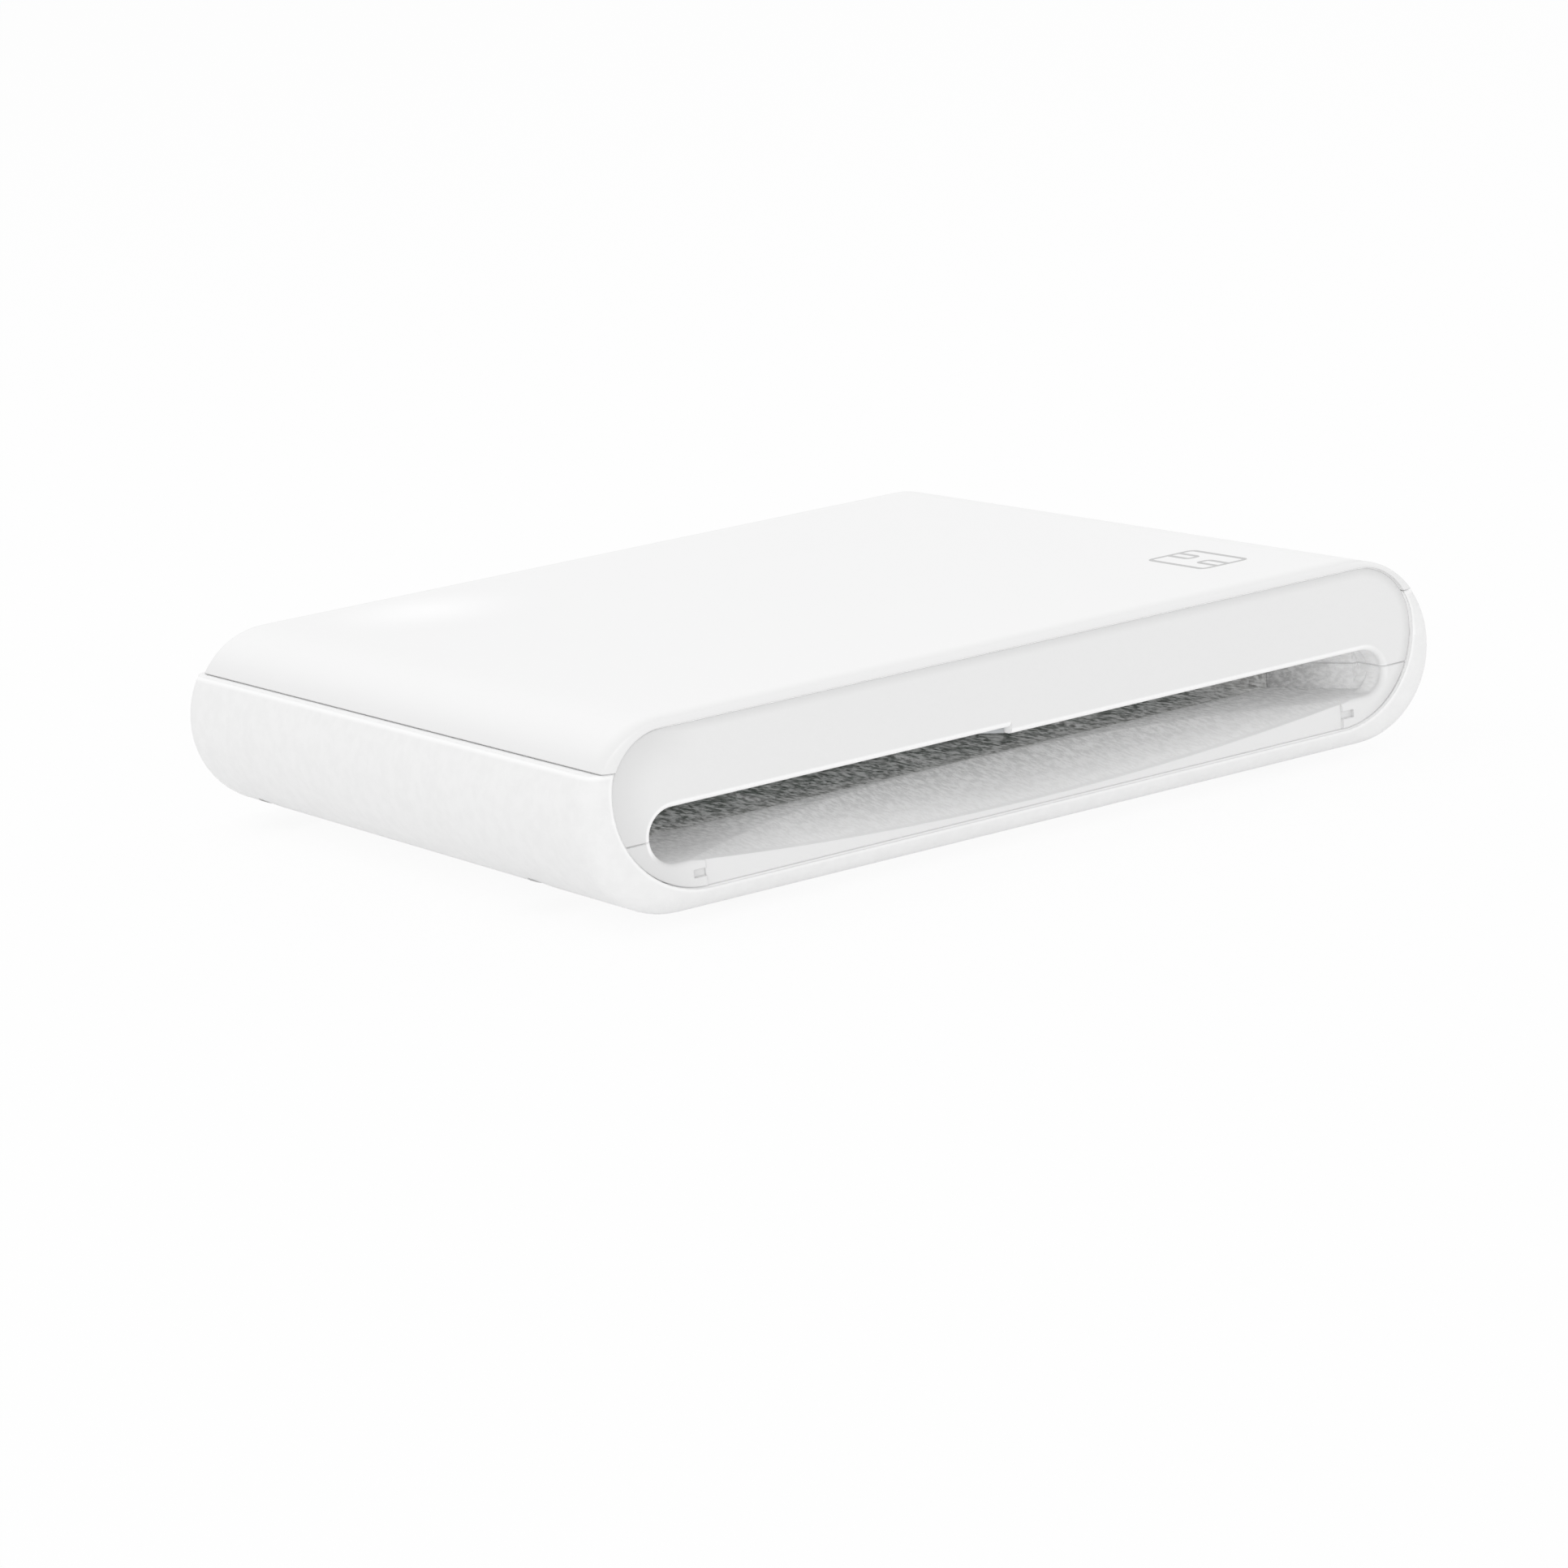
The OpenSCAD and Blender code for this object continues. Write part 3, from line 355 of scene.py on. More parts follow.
def lip_highlight(g):
    """1 on the painted highlight along the rounded lip of the card mouth, less at its right end.
    """
    lip_out, lip_in = 0.5, 0.3
    lip_back, lip_fade = 0.9, 0.5
    lip_low_z, lip_high_z = 4.9, 5.9
    end_from, end_x, end_share = 29, 31, 0.3
    x, y, z = g.axes()
    at_front = y.ramp(PANEL_FRONT_Y + lip_back, PANEL_FRONT_Y + lip_fade)
    lip = mouth_edge(g).ramp(lip_out, lip_in) * at_front * z.ramp(lip_low_z, lip_high_z)
    return lip * x.ramp(end_x, end_from).between(end_share, 1)


def throat_grain(g, spread):
    """Coarse grain drawn out along the card's way; a smaller spread makes it crisper."""
    grain = g.noise(size=0.3, detail=3, rough=0.7, at=g.stretched(y=0.3))
    return grain.ramp(0.5 - spread, 0.5 + spread)


def panel_white():
    """The front panel: plain and matt outside, a coarser grain inside the mouth with painted
    light and shade, a painted glow in the mouth and along its seam, and a painted highlight on
    the lip."""
    inside_from, inside_full, deep_from = 0.35, 0.9, 1.5
    lit_left_x, lit_right_x, floor_z = (-27, -18), (33, 17), (6, 5)
    seam_out, seam_in = 0.12, 0.08
    lip_highlight_tone, throat_tone, painted_light_gain, depth_shade = 0.99, 0.79, 0.06, 0.28
    grain_gain, deep_grain_gain = 0.09, 0.15
    cheek_shade, deep_cheek_shade = 0.02, 0.1
    painted_floor_glow, painted_wall_glow, painted_deep_glow, painted_seam_glow = 0.04, 0.14, 0.11, 0.1
    g = Graph("panel_white")
    x, y, z = g.axes()
    fine = g.noise(size=0.14, detail=3, rough=0.6)
    speckle = throat_grain(g, spread=0.16)
    inside = y.ramp(PANEL_FRONT_Y + inside_from, PANEL_FRONT_Y + inside_full)
    depth = y.ramp(PANEL_FRONT_Y + deep_from, TRAY_FRONT_Y)

    # Painted light and shade: the throat is lighter in its middle, darker with depth and on its
    # right cheek
    lit = x.ramp(*lit_left_x) * x.ramp(*lit_right_x)
    cheek = g.facing("X").ramp(-0.2, -0.7) * inside
    throat = throat_tone + speckle * (grain_gain + depth * deep_grain_gain) + lit * painted_light_gain
    throat = throat - depth * depth_shade - cheek * (cheek_shade + depth * deep_cheek_shade)
    colour = g.blend(inside, panel_face(g, fine), throat)

    # Painted glow: emission on the throat's floor, right cheek and deep end, on the seam at half
    # the mouth's height and round the panel's gap
    floor = lit * g.facing("Z").ramp(0.2, 0.7) * z.ramp(*floor_z) * painted_floor_glow
    wall = cheek * (painted_wall_glow - depth * painted_wall_glow)
    deep = depth * speckle.between(0.6, 1) * (1 - cheek * 0.5) * painted_deep_glow
    seam = abs(z - SPLIT_Z).ramp(seam_out, seam_in) * behind_face(y) * painted_seam_glow
    return g.finish(
        # Painted highlight: the mouth's lip is near white
        Base_Color=g.blend(lip_highlight(g), colour, grey(lip_highlight_tone)),
        Roughness=0.48 + fine * 0.1 + inside * 0.08,
        Specular_IOR_Level=0.45,
        Emission_Color=(deep + floor + wall).most(seam).most(painted_gap_glow(g)),
        Emission_Strength=1.0,
        Normal=g.bump(fine + inside * speckle, depth=0.006, under=g.soft_edge(0.12)))


def tray_white():
    """Unpainted guide plastic: slide marks along it, and a painted glow near the mouth."""
    glow_reach, glow_full = 13, 5
    wear_and_highlight, plain = (0.50, 0.50, 0.49, 1), (0.57, 0.57, 0.56, 1)
    g = Graph("tray_white")
    _, y, _ = g.axes()
    marks = g.noise(size=0.35, detail=3, rough=0.6, at=g.stretched(y=0.03))
    near = y.ramp(TRAY_FRONT_Y + glow_reach, TRAY_FRONT_Y + glow_full)
    # Painted glow: emission near the mouth
    painted_glow = near * throat_grain(g, spread=0.14).between(0.1, 1)
    return g.finish(
        Base_Color=g.blend(marks.ramp(0.35, 0.75), wear_and_highlight, plain),
        Roughness=marks.between(0.38, 0.58),
        Emission_Color=g.greys(painted_glow, dark=0.0, light=0.22),
        Emission_Strength=1.0,
        Normal=g.bump(marks, depth=0.003, under=g.soft_edge(0.08)))


def frosted_clear():
    """The light pipe: clear plastic, frosted, with a faint cloud inside."""
    deep, pale = (0.62, 0.645, 0.66, 1), (0.72, 0.74, 0.75, 1)
    g = Graph("frosted_clear")
    frost = g.noise(size=0.12, detail=3, rough=0.6)
    return g.finish(
        Base_Color=g.blend(g.noise(size=1.4), deep, pale),
        Roughness=frost.between(0.25, 0.45),
        Transmission_Weight=0.35,
        IOR=1.49,
        Normal=g.bump(frost, depth=0.004, under=g.soft_edge(0.08)))


def glass_filled_black(name, tone, fibre_share):
    """Black moulding with glass fibres that show as short pale streaks."""
    cloud_gain, fibre_gain = 1.5, 6
    g = Graph(name)
    fibres = g.cells(size=0.3, at=g.stretched(x=0.35)).ramp(0.16, 0.06)
    broad = g.noise(size=1.6)
    moulding = g.greys(broad, dark=tone, light=tone * cloud_gain)
    return g.finish(
        Base_Color=g.blend(fibres * fibre_share, moulding, grey(tone * fibre_gain)),
        Roughness=broad.between(0.42, 0.56),
        Normal=g.bump(fibres, depth=0.003, under=g.soft_edge(0.06)))


def chip_resin():
    """Matt package resin with a faint cloud of filler."""
    dark, pale = (0.028, 0.028, 0.031, 1), (0.045, 0.045, 0.05, 1)
    g = Graph("chip_resin")
    filler = g.noise(size=0.09)
    return g.finish(
        Base_Color=g.blend(g.noise(size=1.3), dark, pale),
        Roughness=filler.between(0.5, 0.7),
        Normal=g.bump(filler, depth=0.005, under=g.soft_edge(0.08)))


def plated(name, colour, dull, along, rough, edge=0.04):
    """Plated metal drawn along an axis: fine lines, patches a little duller."""
    g = Graph(name)
    lines = g.noise(size=0.05, at=g.stretched(**{along: 0.05}))
    patches = g.noise(size=0.9, detail=3, rough=0.6)
    return g.finish(
        Base_Color=g.blend(patches.ramp(0.35, 0.8), colour, dull),
        Metallic=1.0,
        Roughness=rough + patches * 0.1 + lines * 0.06,
        Normal=g.bump(lines, depth=0.0012, under=g.soft_edge(edge)))


def tin_frost(name, size):
    """Matt tin or solder: frosted crystals on a soft grey metal."""
    cloud_gain = 6
    bright, dull = (0.80, 0.80, 0.79, 1), (0.62, 0.62, 0.62, 1)
    g = Graph(name)
    crystals = g.cells(size)
    cloud = g.noise(size * cloud_gain)
    return g.finish(
        Base_Color=g.blend(crystals, bright, dull),
        Metallic=1.0,
        Roughness=0.28 + crystals * 0.15 + cloud * 0.1,
        Normal=g.bump(crystals, depth=0.004, under=g.soft_edge(0.05)))


def zinc_screw(node):
    """Zinc plated screws: a blue and straw sheen, wear on the heads, a thread above them."""
    thread_start, wear_share = 0.3, 0.1
    blue, straw = (0.66, 0.68, 0.72, 1), (0.72, 0.69, 0.6, 1)
    g = Graph(node + "_zinc")
    _, _, z = g.axes()
    sheen = g.noise(size=1.5).ramp(0.3, 0.7)
    wear = g.noise(size=0.12, detail=3, rough=0.6)
    head_top = corners(node)[0][2] + SCREW_HEAD_H
    turns = (z * (2 * math.pi / SCREW_PITCH)).sine()
    thread = turns * z.ramp(head_top, head_top + thread_start)
    return g.finish(
        Base_Color=g.blend(sheen, blue, straw),
        Metallic=1.0,
        Roughness=wear.between(0.26, 0.42),
        Normal=g.bump(thread + wear * wear_share, depth=0.08, under=g.soft_edge(0.08)))


def solder_mask():
    """Board with green lacquer above and below and bare glass laminate at its edges."""
    deep_green, pale_green = (0.014, 0.143, 0.064, 1), (0.018, 0.18, 0.081, 1)
    glass, resin = (0.5, 0.45, 0.27, 1), (0.38, 0.33, 0.18, 1)
    g = Graph("solder_mask")
    edge = abs(g.facing("Z")).ramp(0.8, 0.5)
    flow = g.noise(size=7).ramp(0.3, 0.7)
    weave = g.cells(size=0.5)
    lacquer = g.blend(flow, deep_green, pale_green)
    laminate = g.blend(weave, glass, resin)
    return g.finish(
        Base_Color=g.blend(edge, lacquer, laminate),
        Roughness=0.24 + edge * 0.4 + weave * 0.05,
        Coat_Weight=0.3,
        Normal=g.bump(weave, depth=0.0015, under=g.soft_edge(0.06)))


def lacquered_copper():
    """A copper track under the lacquer."""
    deep_green, pale_green = (0.022, 0.235, 0.105, 1), (0.03, 0.29, 0.13, 1)
    g = Graph("lacquered_copper")
    cloud = g.noise(size=2.0)
    return g.finish(
        Base_Color=g.blend(cloud, deep_green, pale_green),
        Roughness=cloud.between(0.25, 0.33),
        Coat_Weight=0.3)


def printed(name, dark, light):
    """Ink of two grey tones, a little uneven."""
    g = Graph(name)
    grain = g.noise(size=0.1, detail=3, rough=0.6)
    return g.finish(Base_Color=g.greys(grain, dark, light), Roughness=grain.between(0.45, 0.6))


def fired_grain(g):
    """The fine crystalline grain of fired ceramic."""
    return g.noise(size=0.07, detail=3, rough=0.6)


def fired_ceramic():
    """Tan ceramic with a fine crystalline grain."""
    pale, dark = (0.50, 0.37, 0.24, 1), (0.40, 0.29, 0.18, 1)
    g = Graph("fired_ceramic")
    grain = fired_grain(g)
    return g.finish(
        Base_Color=g.blend(grain, pale, dark),
        Roughness=grain.between(0.45, 0.6),
        Normal=g.bump(grain, depth=0.004, under=g.soft_edge(0.06)))


def glazed_resistor():
    """Black glaze over a white ceramic body that shows at the sides."""
    g = Graph("glazed_resistor")
    grain = fired_grain(g)
    top = g.facing("Z").ramp(0.4, 0.8)
    body = g.greys(grain, dark=0.72, light=0.82)
    glaze = g.greys(grain, dark=0.018, light=0.04)
    return g.finish(
        Base_Color=g.blend(top, body, glaze),
        Roughness=0.5 - top * 0.25 + grain * 0.05)


def lamp_resin():
    """White lamp package with a pale yellow lens over the die."""
    lens_r, lens_rim = 0.42, 0.5
    phosphor = (0.9, 0.75, 0.28, 1)
    g = Graph("lamp_resin")
    x, y, _ = g.axes()
    middle = middle_of(*corners("status_light"))
    off_x, off_y = x - middle.x, y - middle.y
    disc = (off_x * off_x + off_y * off_y).root().ramp(lens_rim, lens_r)
    lens = disc * g.facing("Z").ramp(0.5, 0.9)
    body = g.greys(g.noise(size=0.2), dark=0.82, light=0.88)
    return g.finish(
        Base_Color=g.blend(lens, body, phosphor),
        Roughness=0.45 - lens * 0.3,
        Normal=g.bump(lens, depth=0.05, under=g.soft_edge(0.05)))


def foot_rubber():
    """Grey rubber: matt, finely grained and dusty above its standing face."""
    dust_from_z, dust_full_z = 0.1, 0.5
    dust_most, dust_tone = 0.5, 0.3
    g = Graph("foot_rubber")
    _, _, z = g.axes()
    grain = g.noise(size=0.18, detail=4, rough=0.65)
    patches = g.noise(size=1.2, detail=3, rough=0.6).ramp(0.5, 0.8)
    dust = patches * z.ramp(dust_from_z, dust_full_z) * dust_most
    rubber = g.greys(grain, dark=0.085, light=0.12)
    return g.finish(
        Base_Color=g.blend(dust, rubber, grey(dust_tone)),
        Roughness=grain.between(0.7, 0.85),
        Specular_IOR_Level=0.3,
        Normal=g.bump(grain, depth=0.02, under=g.soft_edge(0.15)))


def dress(material, *nodes):
    """Puts a material on every slot of CAD nodes."""
    for node in nodes:
        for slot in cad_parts[node].material_slots:
            slot.material = material


def dress_case():
    dress(cover_white(), "top_cover")
    dress(shell_white(), "bottom_shell")
    dress(panel_white(), "front_bezel", "lower_bezel")
    dress(frosted_clear(), "light_pipe")
    dress(tray_white(), "card_tray")
    dress(foot_rubber(), "rubber_feet")
    for screws in ("case_screws", "board_screws"):
        dress(zinc_screw(screws), screws)


def dress_contacts():
    gold, dull_gold = (0.93, 0.70, 0.32, 1), (0.80, 0.58, 0.26, 1)
    bronze, dull_bronze = (0.81, 0.67, 0.49, 1), (0.67, 0.56, 0.43, 1)
    dress(glass_filled_black("block_black", tone=0.022, fibre_share=0.5), "contact_block")
    dress(plated("gold_spring", gold, dull_gold, "y", rough=0.2),
          "front_contacts", "rear_contacts")
    dress(plated("gold_pad", gold, dull_gold, "y", rough=0.24), "usb_contacts")
    dress(tin_frost("tail_tin", size=0.09), "contact_tails")
    dress(glass_filled_black("switch_black", tone=0.018, fibre_share=0.35), "switch_base")
    dress(plated("leaf_bronze", bronze, dull_bronze, "z", rough=0.24), "switch_leaf")
    dress(plated("blade_bronze", bronze, dull_bronze, "x", rough=0.26), "switch_blade")


def dress_electronics():
    nickel, dull_nickel = (0.73, 0.725, 0.71, 1), (0.61, 0.605, 0.59, 1)
    dress(solder_mask(), "circuit_board")
    dress(chip_resin(), "controller_chip", "memory_chip", "regulator")
    dress(tin_frost("lead_tin", size=0.06), "chip_leads")
    dress(tin_frost("end_tin", size=0.05), "terminations")
    dress(plated("can_nickel", nickel, dull_nickel, "x", rough=0.22, edge=0.1), "crystal")
    dress(fired_ceramic(), "capacitors")
    dress(glazed_resistor(), "resistors")
    dress(lamp_resin(), "status_light")
    dress(plated("socket_nickel", nickel, dull_nickel, "y", rough=0.24, edge=0.08),
          "usb_shell")
    dress(glass_filled_black("tongue_black", tone=0.02, fibre_share=0.4), "usb_tongue")


def mesh_piece(name, bm, material):
    """Turns a bmesh in metres into a piece that rides on the case."""
    mesh = bpy.data.meshes.new(name)
    bm.to_mesh(mesh)
    bm.free()
    piece = bpy.data.objects.new(name, mesh)
    bpy.context.scene.collection.objects.link(piece)
    mesh.materials.append(material)
    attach(piece, "case")


def ring(bm, points, z):
    """Vertices at flat points in millimetres, at one height."""
    return [bm.verts.new((x * MM, y * MM, z * MM)) for x, y in points]


def skin(bm, lower, upper):
    """Faces between two closed rings."""
    for k in range(len(lower)):
        after = (k + 1) % len(lower)
        bm.faces.new((lower[k], lower[after], upper[after], upper[k]))


def ribbon(bm, path, width, z, thick, closed=False):
    """A flat strip of a width along a path in millimetres, with mitred corners."""
    points = [Vector(p) for p in path]
    count = len(points)
    cuts = []
    for i, point in enumerate(points):
        ways = []
        if closed or i > 0:
            ways.append((point - points[i - 1]).normalized())
        if closed or i < count - 1:
            ways.append((points[(i + 1) % count] - point).normalized())
        way = sum(ways, Vector((0, 0))).normalized()
        mitre = Vector((-way.y, way.x)) * (width / 2 / way.dot(ways[0]))
        sides = [point + mitre, point - mitre]
        cuts.append(ring(bm, sides, z) + ring(bm, sides[::-1], z + thick))
    for i in range(count if closed else count - 1):
        skin(bm, cuts[i], cuts[(i + 1) % count])
    if not closed:
        bm.faces.new(cuts[0][::-1])
        bm.faces.new(cuts[-1])


def circle(centre, radius, start=0, end=360, steps=16):
    """Points round a centre from one angle to another, both included, in degrees."""
    turns = [math.radians(start + (end - start) * i / steps) for i in range(steps + 1)]
    return [(centre[0] + radius * math.cos(t), centre[1] + radius * math.sin(t)) for t in turns]


def card_sign():
    """A plain sign on the cover: a card's outline with half a contact plate at each end."""
    low, high, corner_r = (22.0, -22.2), (26.0, -15.35), 0.5
    line, proud = 0.36, 0.012
    plate_half_w, plate_reach, plate_r = 0.5, 2.5, 0.35
    rear_plate_x, front_plate_x = 24.3, 23.8
    z, thick = CASE_TOP_Z - STRIP_SUNK, proud + STRIP_SUNK
    left, right = low[0] + corner_r, high[0] - corner_r
    front, rear = low[1] + corner_r, high[1] - corner_r
    bm = bmesh.new()

    outline = []
    turning_points = ((right, rear), (left, rear), (left, front), (right, front))
    for quarter, centre in enumerate(turning_points):
        outline += circle(centre, corner_r, quarter * 90, quarter * 90 + 90, steps=6)
    ribbon(bm, outline, line, z, thick, closed=True)

    for end, way, middle in ((high[1], -1, rear_plate_x), (low[1], 1, front_plate_x)):
        tip = end + way * plate_reach
        foot = end + way * line / 2
        centre = (middle - plate_half_w + plate_r, tip - way * plate_r)
        turn = circle(centre, plate_r, 180, 180 - way * 90, steps=4)
        left_side = [(middle - plate_half_w, foot)] + turn
        right_side = [(2 * middle - x, y) for x, y in reversed(left_side)]
        ribbon(bm, left_side + right_side, line, z, thick)
    mesh_piece("card_sign", bm, printed("sign_ink", dark=0.52, light=0.62))


def box_of(points):
    """Lowest and highest corner of points."""
    columns = list(zip(*points))
    return [min(column) for column in columns], [max(column) for column in columns]


def solids(node):
    """Lowest and highest corner, in millimetres, of each separate solid of a CAD node."""
    bm = bmesh.new()
    bm.from_mesh(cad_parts[node].data)
    bmesh.ops.remove_doubles(bm, verts=bm.verts, dist=MM / 1e4)
    seen, found = set(), []
    for start in bm.verts:
        if start in seen:
            continue
        group, queue = [], [start]
        seen.add(start)
        while queue:
            vert = queue.pop()
            group.append(vert.co / MM)
            near = [edge.other_vert(vert) for edge in vert.link_edges]
            queue += [other for other in near if other not in seen]
            seen.update(near)
        found.append(box_of(group))
    bm.free()
    return found


def middle_of(low, high):
    """Middle of a box, seen from above."""
    return Vector(((low[0] + high[0]) / 2, (low[1] + high[1]) / 2))


def lead_feet(chips):
    """For each chip, the outer half of each lead's box and the way that it points."""
    feet = {chip: [] for chip in chips}
    for low, high in solids("chip_leads"):
        centre = middle_of(low, high)
        chip = min(chips, key=lambda name: (middle_of(*corners(name)) - centre).length)
        axis = 0 if high[0] - low[0] > high[1] - low[1] else 1
        out = Vector((0, 0))
        out[axis] = math.copysign(1, (centre - middle_of(*corners(chip)))[axis])
        inner = low if out[axis] > 0 else high
        inner[axis] = centre[axis]
        feet[chip].append((low, high, out))
    return feet


def solder(bm, low, high, spread, height):
    """A concave mound of solder round a foot's outline, on top of the board."""
    mound = ((1.0, 0.0), (0.55, 0.18), (0.25, 0.5), (0.08, 1.0))
    cut_share, least_cut = 0.6, 0.02
    rings = []
    for out, up in mound:
        s = spread * out
        cut = s * cut_share + least_cut
        x0, x1, y0, y1 = low[0] - s, high[0] + s, low[1] - s, high[1] + s
        loop = [(x0 + cut, y0), (x1 - cut, y0), (x1, y0 + cut), (x1, y1 - cut),
                (x1 - cut, y1), (x0 + cut, y1), (x0, y1 - cut), (x0, y0 + cut)]
        rings.append(ring(bm, loop, BOARD_TOP_Z + height * up))
    for lower, upper in zip(rings, rings[1:]):
        skin(bm, lower, upper)
    bm.faces.new(rings[0][::-1])
    bm.faces.new(rings[-1])


def plated_hole(bm, centre):
    """A plated hole's ring on the board."""
    outer_r, inner_r, rise = 0.28, 0.12, 0.03
    low, high = BOARD_TOP_Z, BOARD_TOP_Z + rise
    section = ((outer_r, low), (outer_r, high), (inner_r, high), (inner_r, low))
    rings = [ring(bm, circle(centre, radius)[1:], z) for radius, z in section]
    for lower, upper in zip(rings, rings[1:] + rings[:1]):
        skin(bm, lower, upper)


def fan_out(tracks, holes, chip, feet):
    """Tracks that spread from a chip's feet, each to a plated hole."""
    spread_share, stub, least_bend = 0.2, 0.3, 0.05
    width, thick = 0.2, 0.03
    middle = middle_of(*corners(chip))
    for low, high, out in feet:
        foot = middle_of(low, high)
        off = foot - middle
        aside = (off - out * off.dot(out)) * spread_share
        first = foot + out * (2 * stub + aside.length)
        last = first + out * aside.length + aside
        end = last + out * stub
        path = [foot, first, last, end] if aside.length > least_bend else [foot, end]
        ribbon(tracks, path, width, BOARD_TOP_Z - STRIP_SUNK, thick)
        plated_hole(holes, end)


def printed_outline(bm, node, gap):
    """A printed line round a part, open at one corner."""
    opening, width, thick = 0.8, 0.12, 0.045
    low, high = corners(node)
    x0, x1, y0, y1 = low[0] - gap, high[0] + gap, low[1] - gap, high[1] + gap
    path = [(x0, y0 + opening), (x0, y1), (x1, y1), (x1, y0), (x0 + opening, y0)]
    ribbon(bm, path, width, BOARD_TOP_Z - STRIP_SUNK, thick)


def board_details():
    """Solder at every foot, tracks with their holes, and printed outlines."""
    foot_spread, foot_height = 0.14, 0.14
    tail_spread, tail_height = 0.38, 0.16
    tail_half_w, tail_half_t = 0.28, 0.1
    gaps = {"controller_chip": 1.35, "memory_chip": 1.35, "crystal": 0.35, "regulator": 1.4}
    joints, tracks, holes, ink = (bmesh.new() for _ in range(4))
    feet = lead_feet(("controller_chip", "memory_chip", "regulator"))
    for chip in feet:
        for low, high, _ in feet[chip]:
            solder(joints, low, high, foot_spread, foot_height)
    for low, high in solids("terminations"):
        solder(joints, low, high, foot_spread, foot_height)
    for low, high in solids("contact_tails"):
        x, y = (low[0] + high[0]) / 2, low[1] + tail_half_t
        tail_low = (x - tail_half_w, y - tail_half_t)
        tail_high = (x + tail_half_w, y + tail_half_t)
        solder(joints, tail_low, tail_high, tail_spread, tail_height)
    for chip in ("controller_chip", "memory_chip"):
        fan_out(tracks, holes, chip, feet[chip])
    for node, gap in gaps.items():
        printed_outline(ink, node, gap)
    mesh_piece("solder_joints", joints, tin_frost("solder", size=0.12))
    mesh_piece("board_tracks", tracks, lacquered_copper())
    mesh_piece("plated_holes", holes, tin_frost("hole_tin", size=0.05))
    mesh_piece("board_outlines", ink, printed("board_ink", dark=0.7, light=0.82))


def photo_camera():
    """The camera at the photograph's place, turned and rolled as it was."""
    nearest, farthest = 0.01, 10
    data = bpy.data.cameras.new("photo_camera")
    data.sensor_width = SENSOR_MM
    data.lens = FOCAL_PX * SENSOR_MM / FRAME_PX
    data.clip_start, data.clip_end = nearest, farthest
    a, e, r = (math.radians(v) for v in (AZIMUTH, ELEVATION, ROLL))
    back = Vector((math.sin(a) * math.cos(e), -math.cos(a) * math.cos(e), math.sin(e)))
    right = Vector((math.cos(a), math.sin(a), 0))
    up = back.cross(right)
    rolled_right = math.cos(r) * right + math.sin(r) * up
    rolled_up = math.cos(r) * up - math.sin(r) * right
    camera = bpy.data.objects.new("photo_camera", data)
    turn = Matrix((rolled_right, rolled_up, back)).transposed().to_4x4()
    camera.matrix_world = Matrix.Translation(Vector(EYE_MM) * MM) @ turn
    bpy.context.scene.collection.objects.link(camera)
    bpy.context.scene.camera = camera


def surround():
    """White to the camera, and a little less as light."""
    light_strength = 0.88
    g = Graph("surround", kept_in=bpy.data.worlds)
    bpy.context.scene.world = g.owner
    camera_ray = g.node("LightPath", output="Is Camera Ray")
    seen = g.node("Background", inputs={"Color": grey(1.0)})
    lit = g.node("Background", inputs={"Color": grey(1.0), "Strength": light_strength})
    shown = g.node("MixShader", inputs={0: camera_ray, 1: lit, 2: seen})
    g.node("OutputWorld", inputs={"Surface": shown})


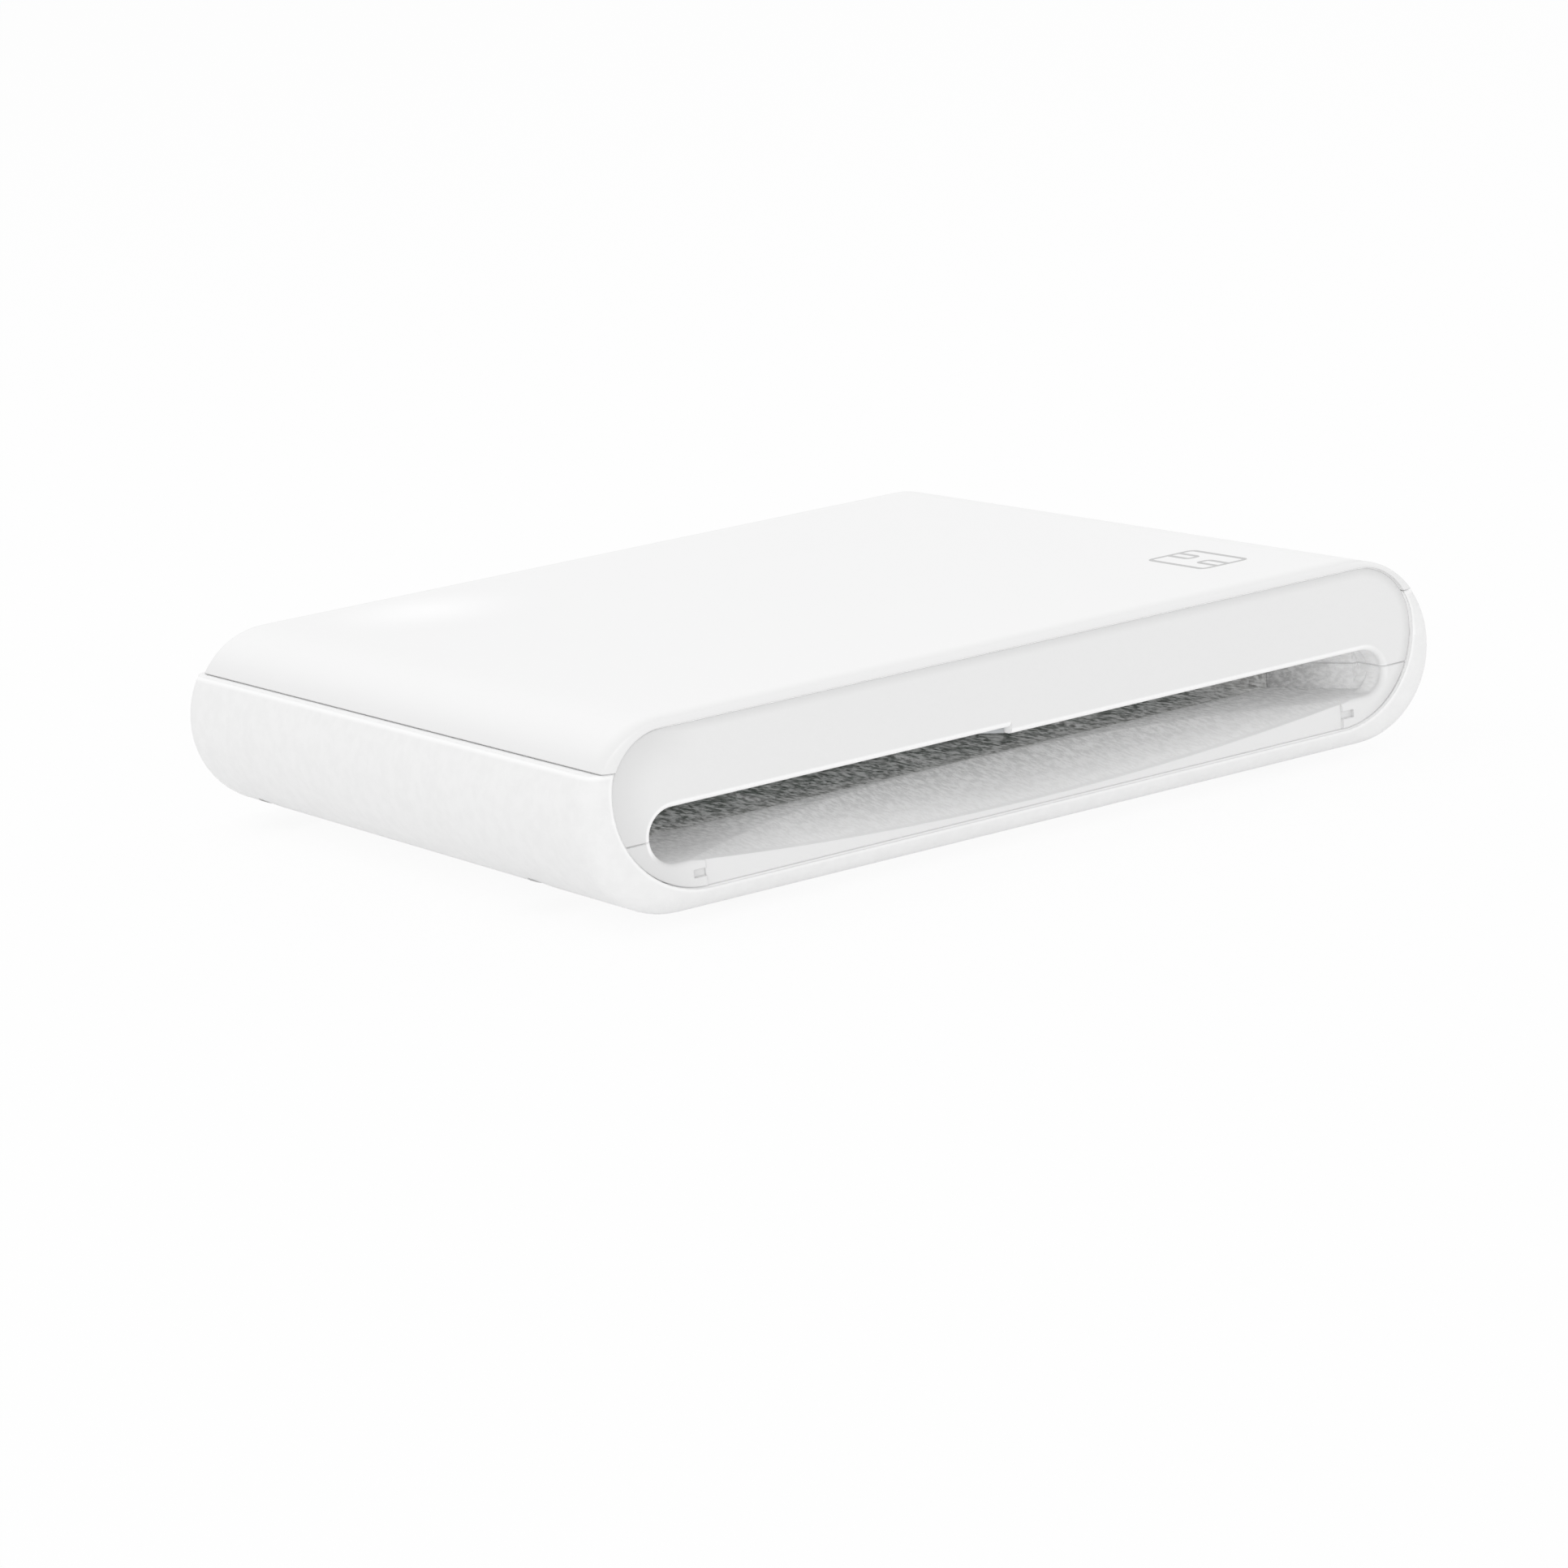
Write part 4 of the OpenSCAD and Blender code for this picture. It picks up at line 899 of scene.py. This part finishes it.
def light_table():
    """The floor just under the feet: a white card, lit a little from below and brighter
    to the camera."""
    half_w_m, below_feet = 3.0, 0.02
    glow_share, camera_share = 0.34, 0.57
    bm = bmesh.new()
    bmesh.ops.create_grid(bm, x_segments=1, y_segments=1, size=half_w_m)
    mesh = bpy.data.meshes.new("floor")
    bm.to_mesh(mesh)
    bm.free()
    floor = bpy.data.objects.new("floor", mesh)
    floor.location.z = -below_feet * MM
    bpy.context.scene.collection.objects.link(floor)
    g = Graph("floor_paint")
    paint = g.greys(g.noise(size=40.0), dark=0.91, light=0.93)
    card = g.node("BsdfDiffuse", inputs={"Color": paint})
    plain = g.node("Emission", inputs={"Color": grey(1.0), "Strength": 1.0})
    camera_ray = g.node("LightPath", output="Is Camera Ray")
    share = camera_ray * camera_share + glow_share
    shown = g.node("MixShader", inputs={0: share, 1: card, 2: plain})
    g.node("OutputMaterial", inputs={"Surface": shown})
    mesh.materials.append(g.owner)


def aim_at(made, place, target, glint):
    """Puts a lamp at its place and turns it to a point; without glint, gloss doesn't show it."""
    aim = Vector(target) - Vector(place)
    made.visible_glossy = glint
    made.location = place
    made.rotation_mode = "QUATERNION"
    made.rotation_quaternion = aim.to_track_quat("-Z", "Y")
    bpy.context.scene.collection.objects.link(made)


def lamp(name, place, target, size, watts, glint=True):
    """A round soft lamp that looks at a point, in metres."""
    data = bpy.data.lights.new(name, "AREA")
    data.shape = "DISK"
    data.size = size
    data.energy = watts
    aim_at(bpy.data.objects.new(name, data), place, target, glint)


def spot(name, place, target, angle, watts):
    """A narrow lamp with a soft rim that looks at a point; its angle is in degrees."""
    bulb_r, rim_blend = 0.004, 1.0
    data = bpy.data.lights.new(name, "SPOT")
    data.spot_size, data.spot_blend = math.radians(angle), rim_blend
    data.shadow_soft_size = bulb_r
    data.energy = watts
    aim_at(bpy.data.objects.new(name, data), place, target, glint=False)


def studio():
    """A light table, a white surround, three soft lamps and the bright patch on the cover."""
    foot, middle, patch = (0, 0, 0), (0, 0, 0.005), (-0.019, 0.022, 0.0145)
    behind_left, front_left = (-0.25, 0.15, 0.55), (-0.30, -0.75, 0.11)
    right, near_left = (0.60, 0.05, 0.40), (-0.10, 0.15, 0.30)
    bpy.context.scene.view_settings.view_transform = "Standard"
    surround()
    light_table()
    lamp("key_lamp", behind_left, foot, size=0.35, watts=0.35)
    lamp("front_lamp", front_left, middle, size=0.50, watts=0.8, glint=False)
    lamp("right_lamp", right, foot, size=0.45, watts=0.2)
    spot("patch_lamp", near_left, patch, angle=1.8, watts=0.65)


photo_camera()
studio()
dress_case()
dress_contacts()
dress_electronics()
card_sign()
board_details()
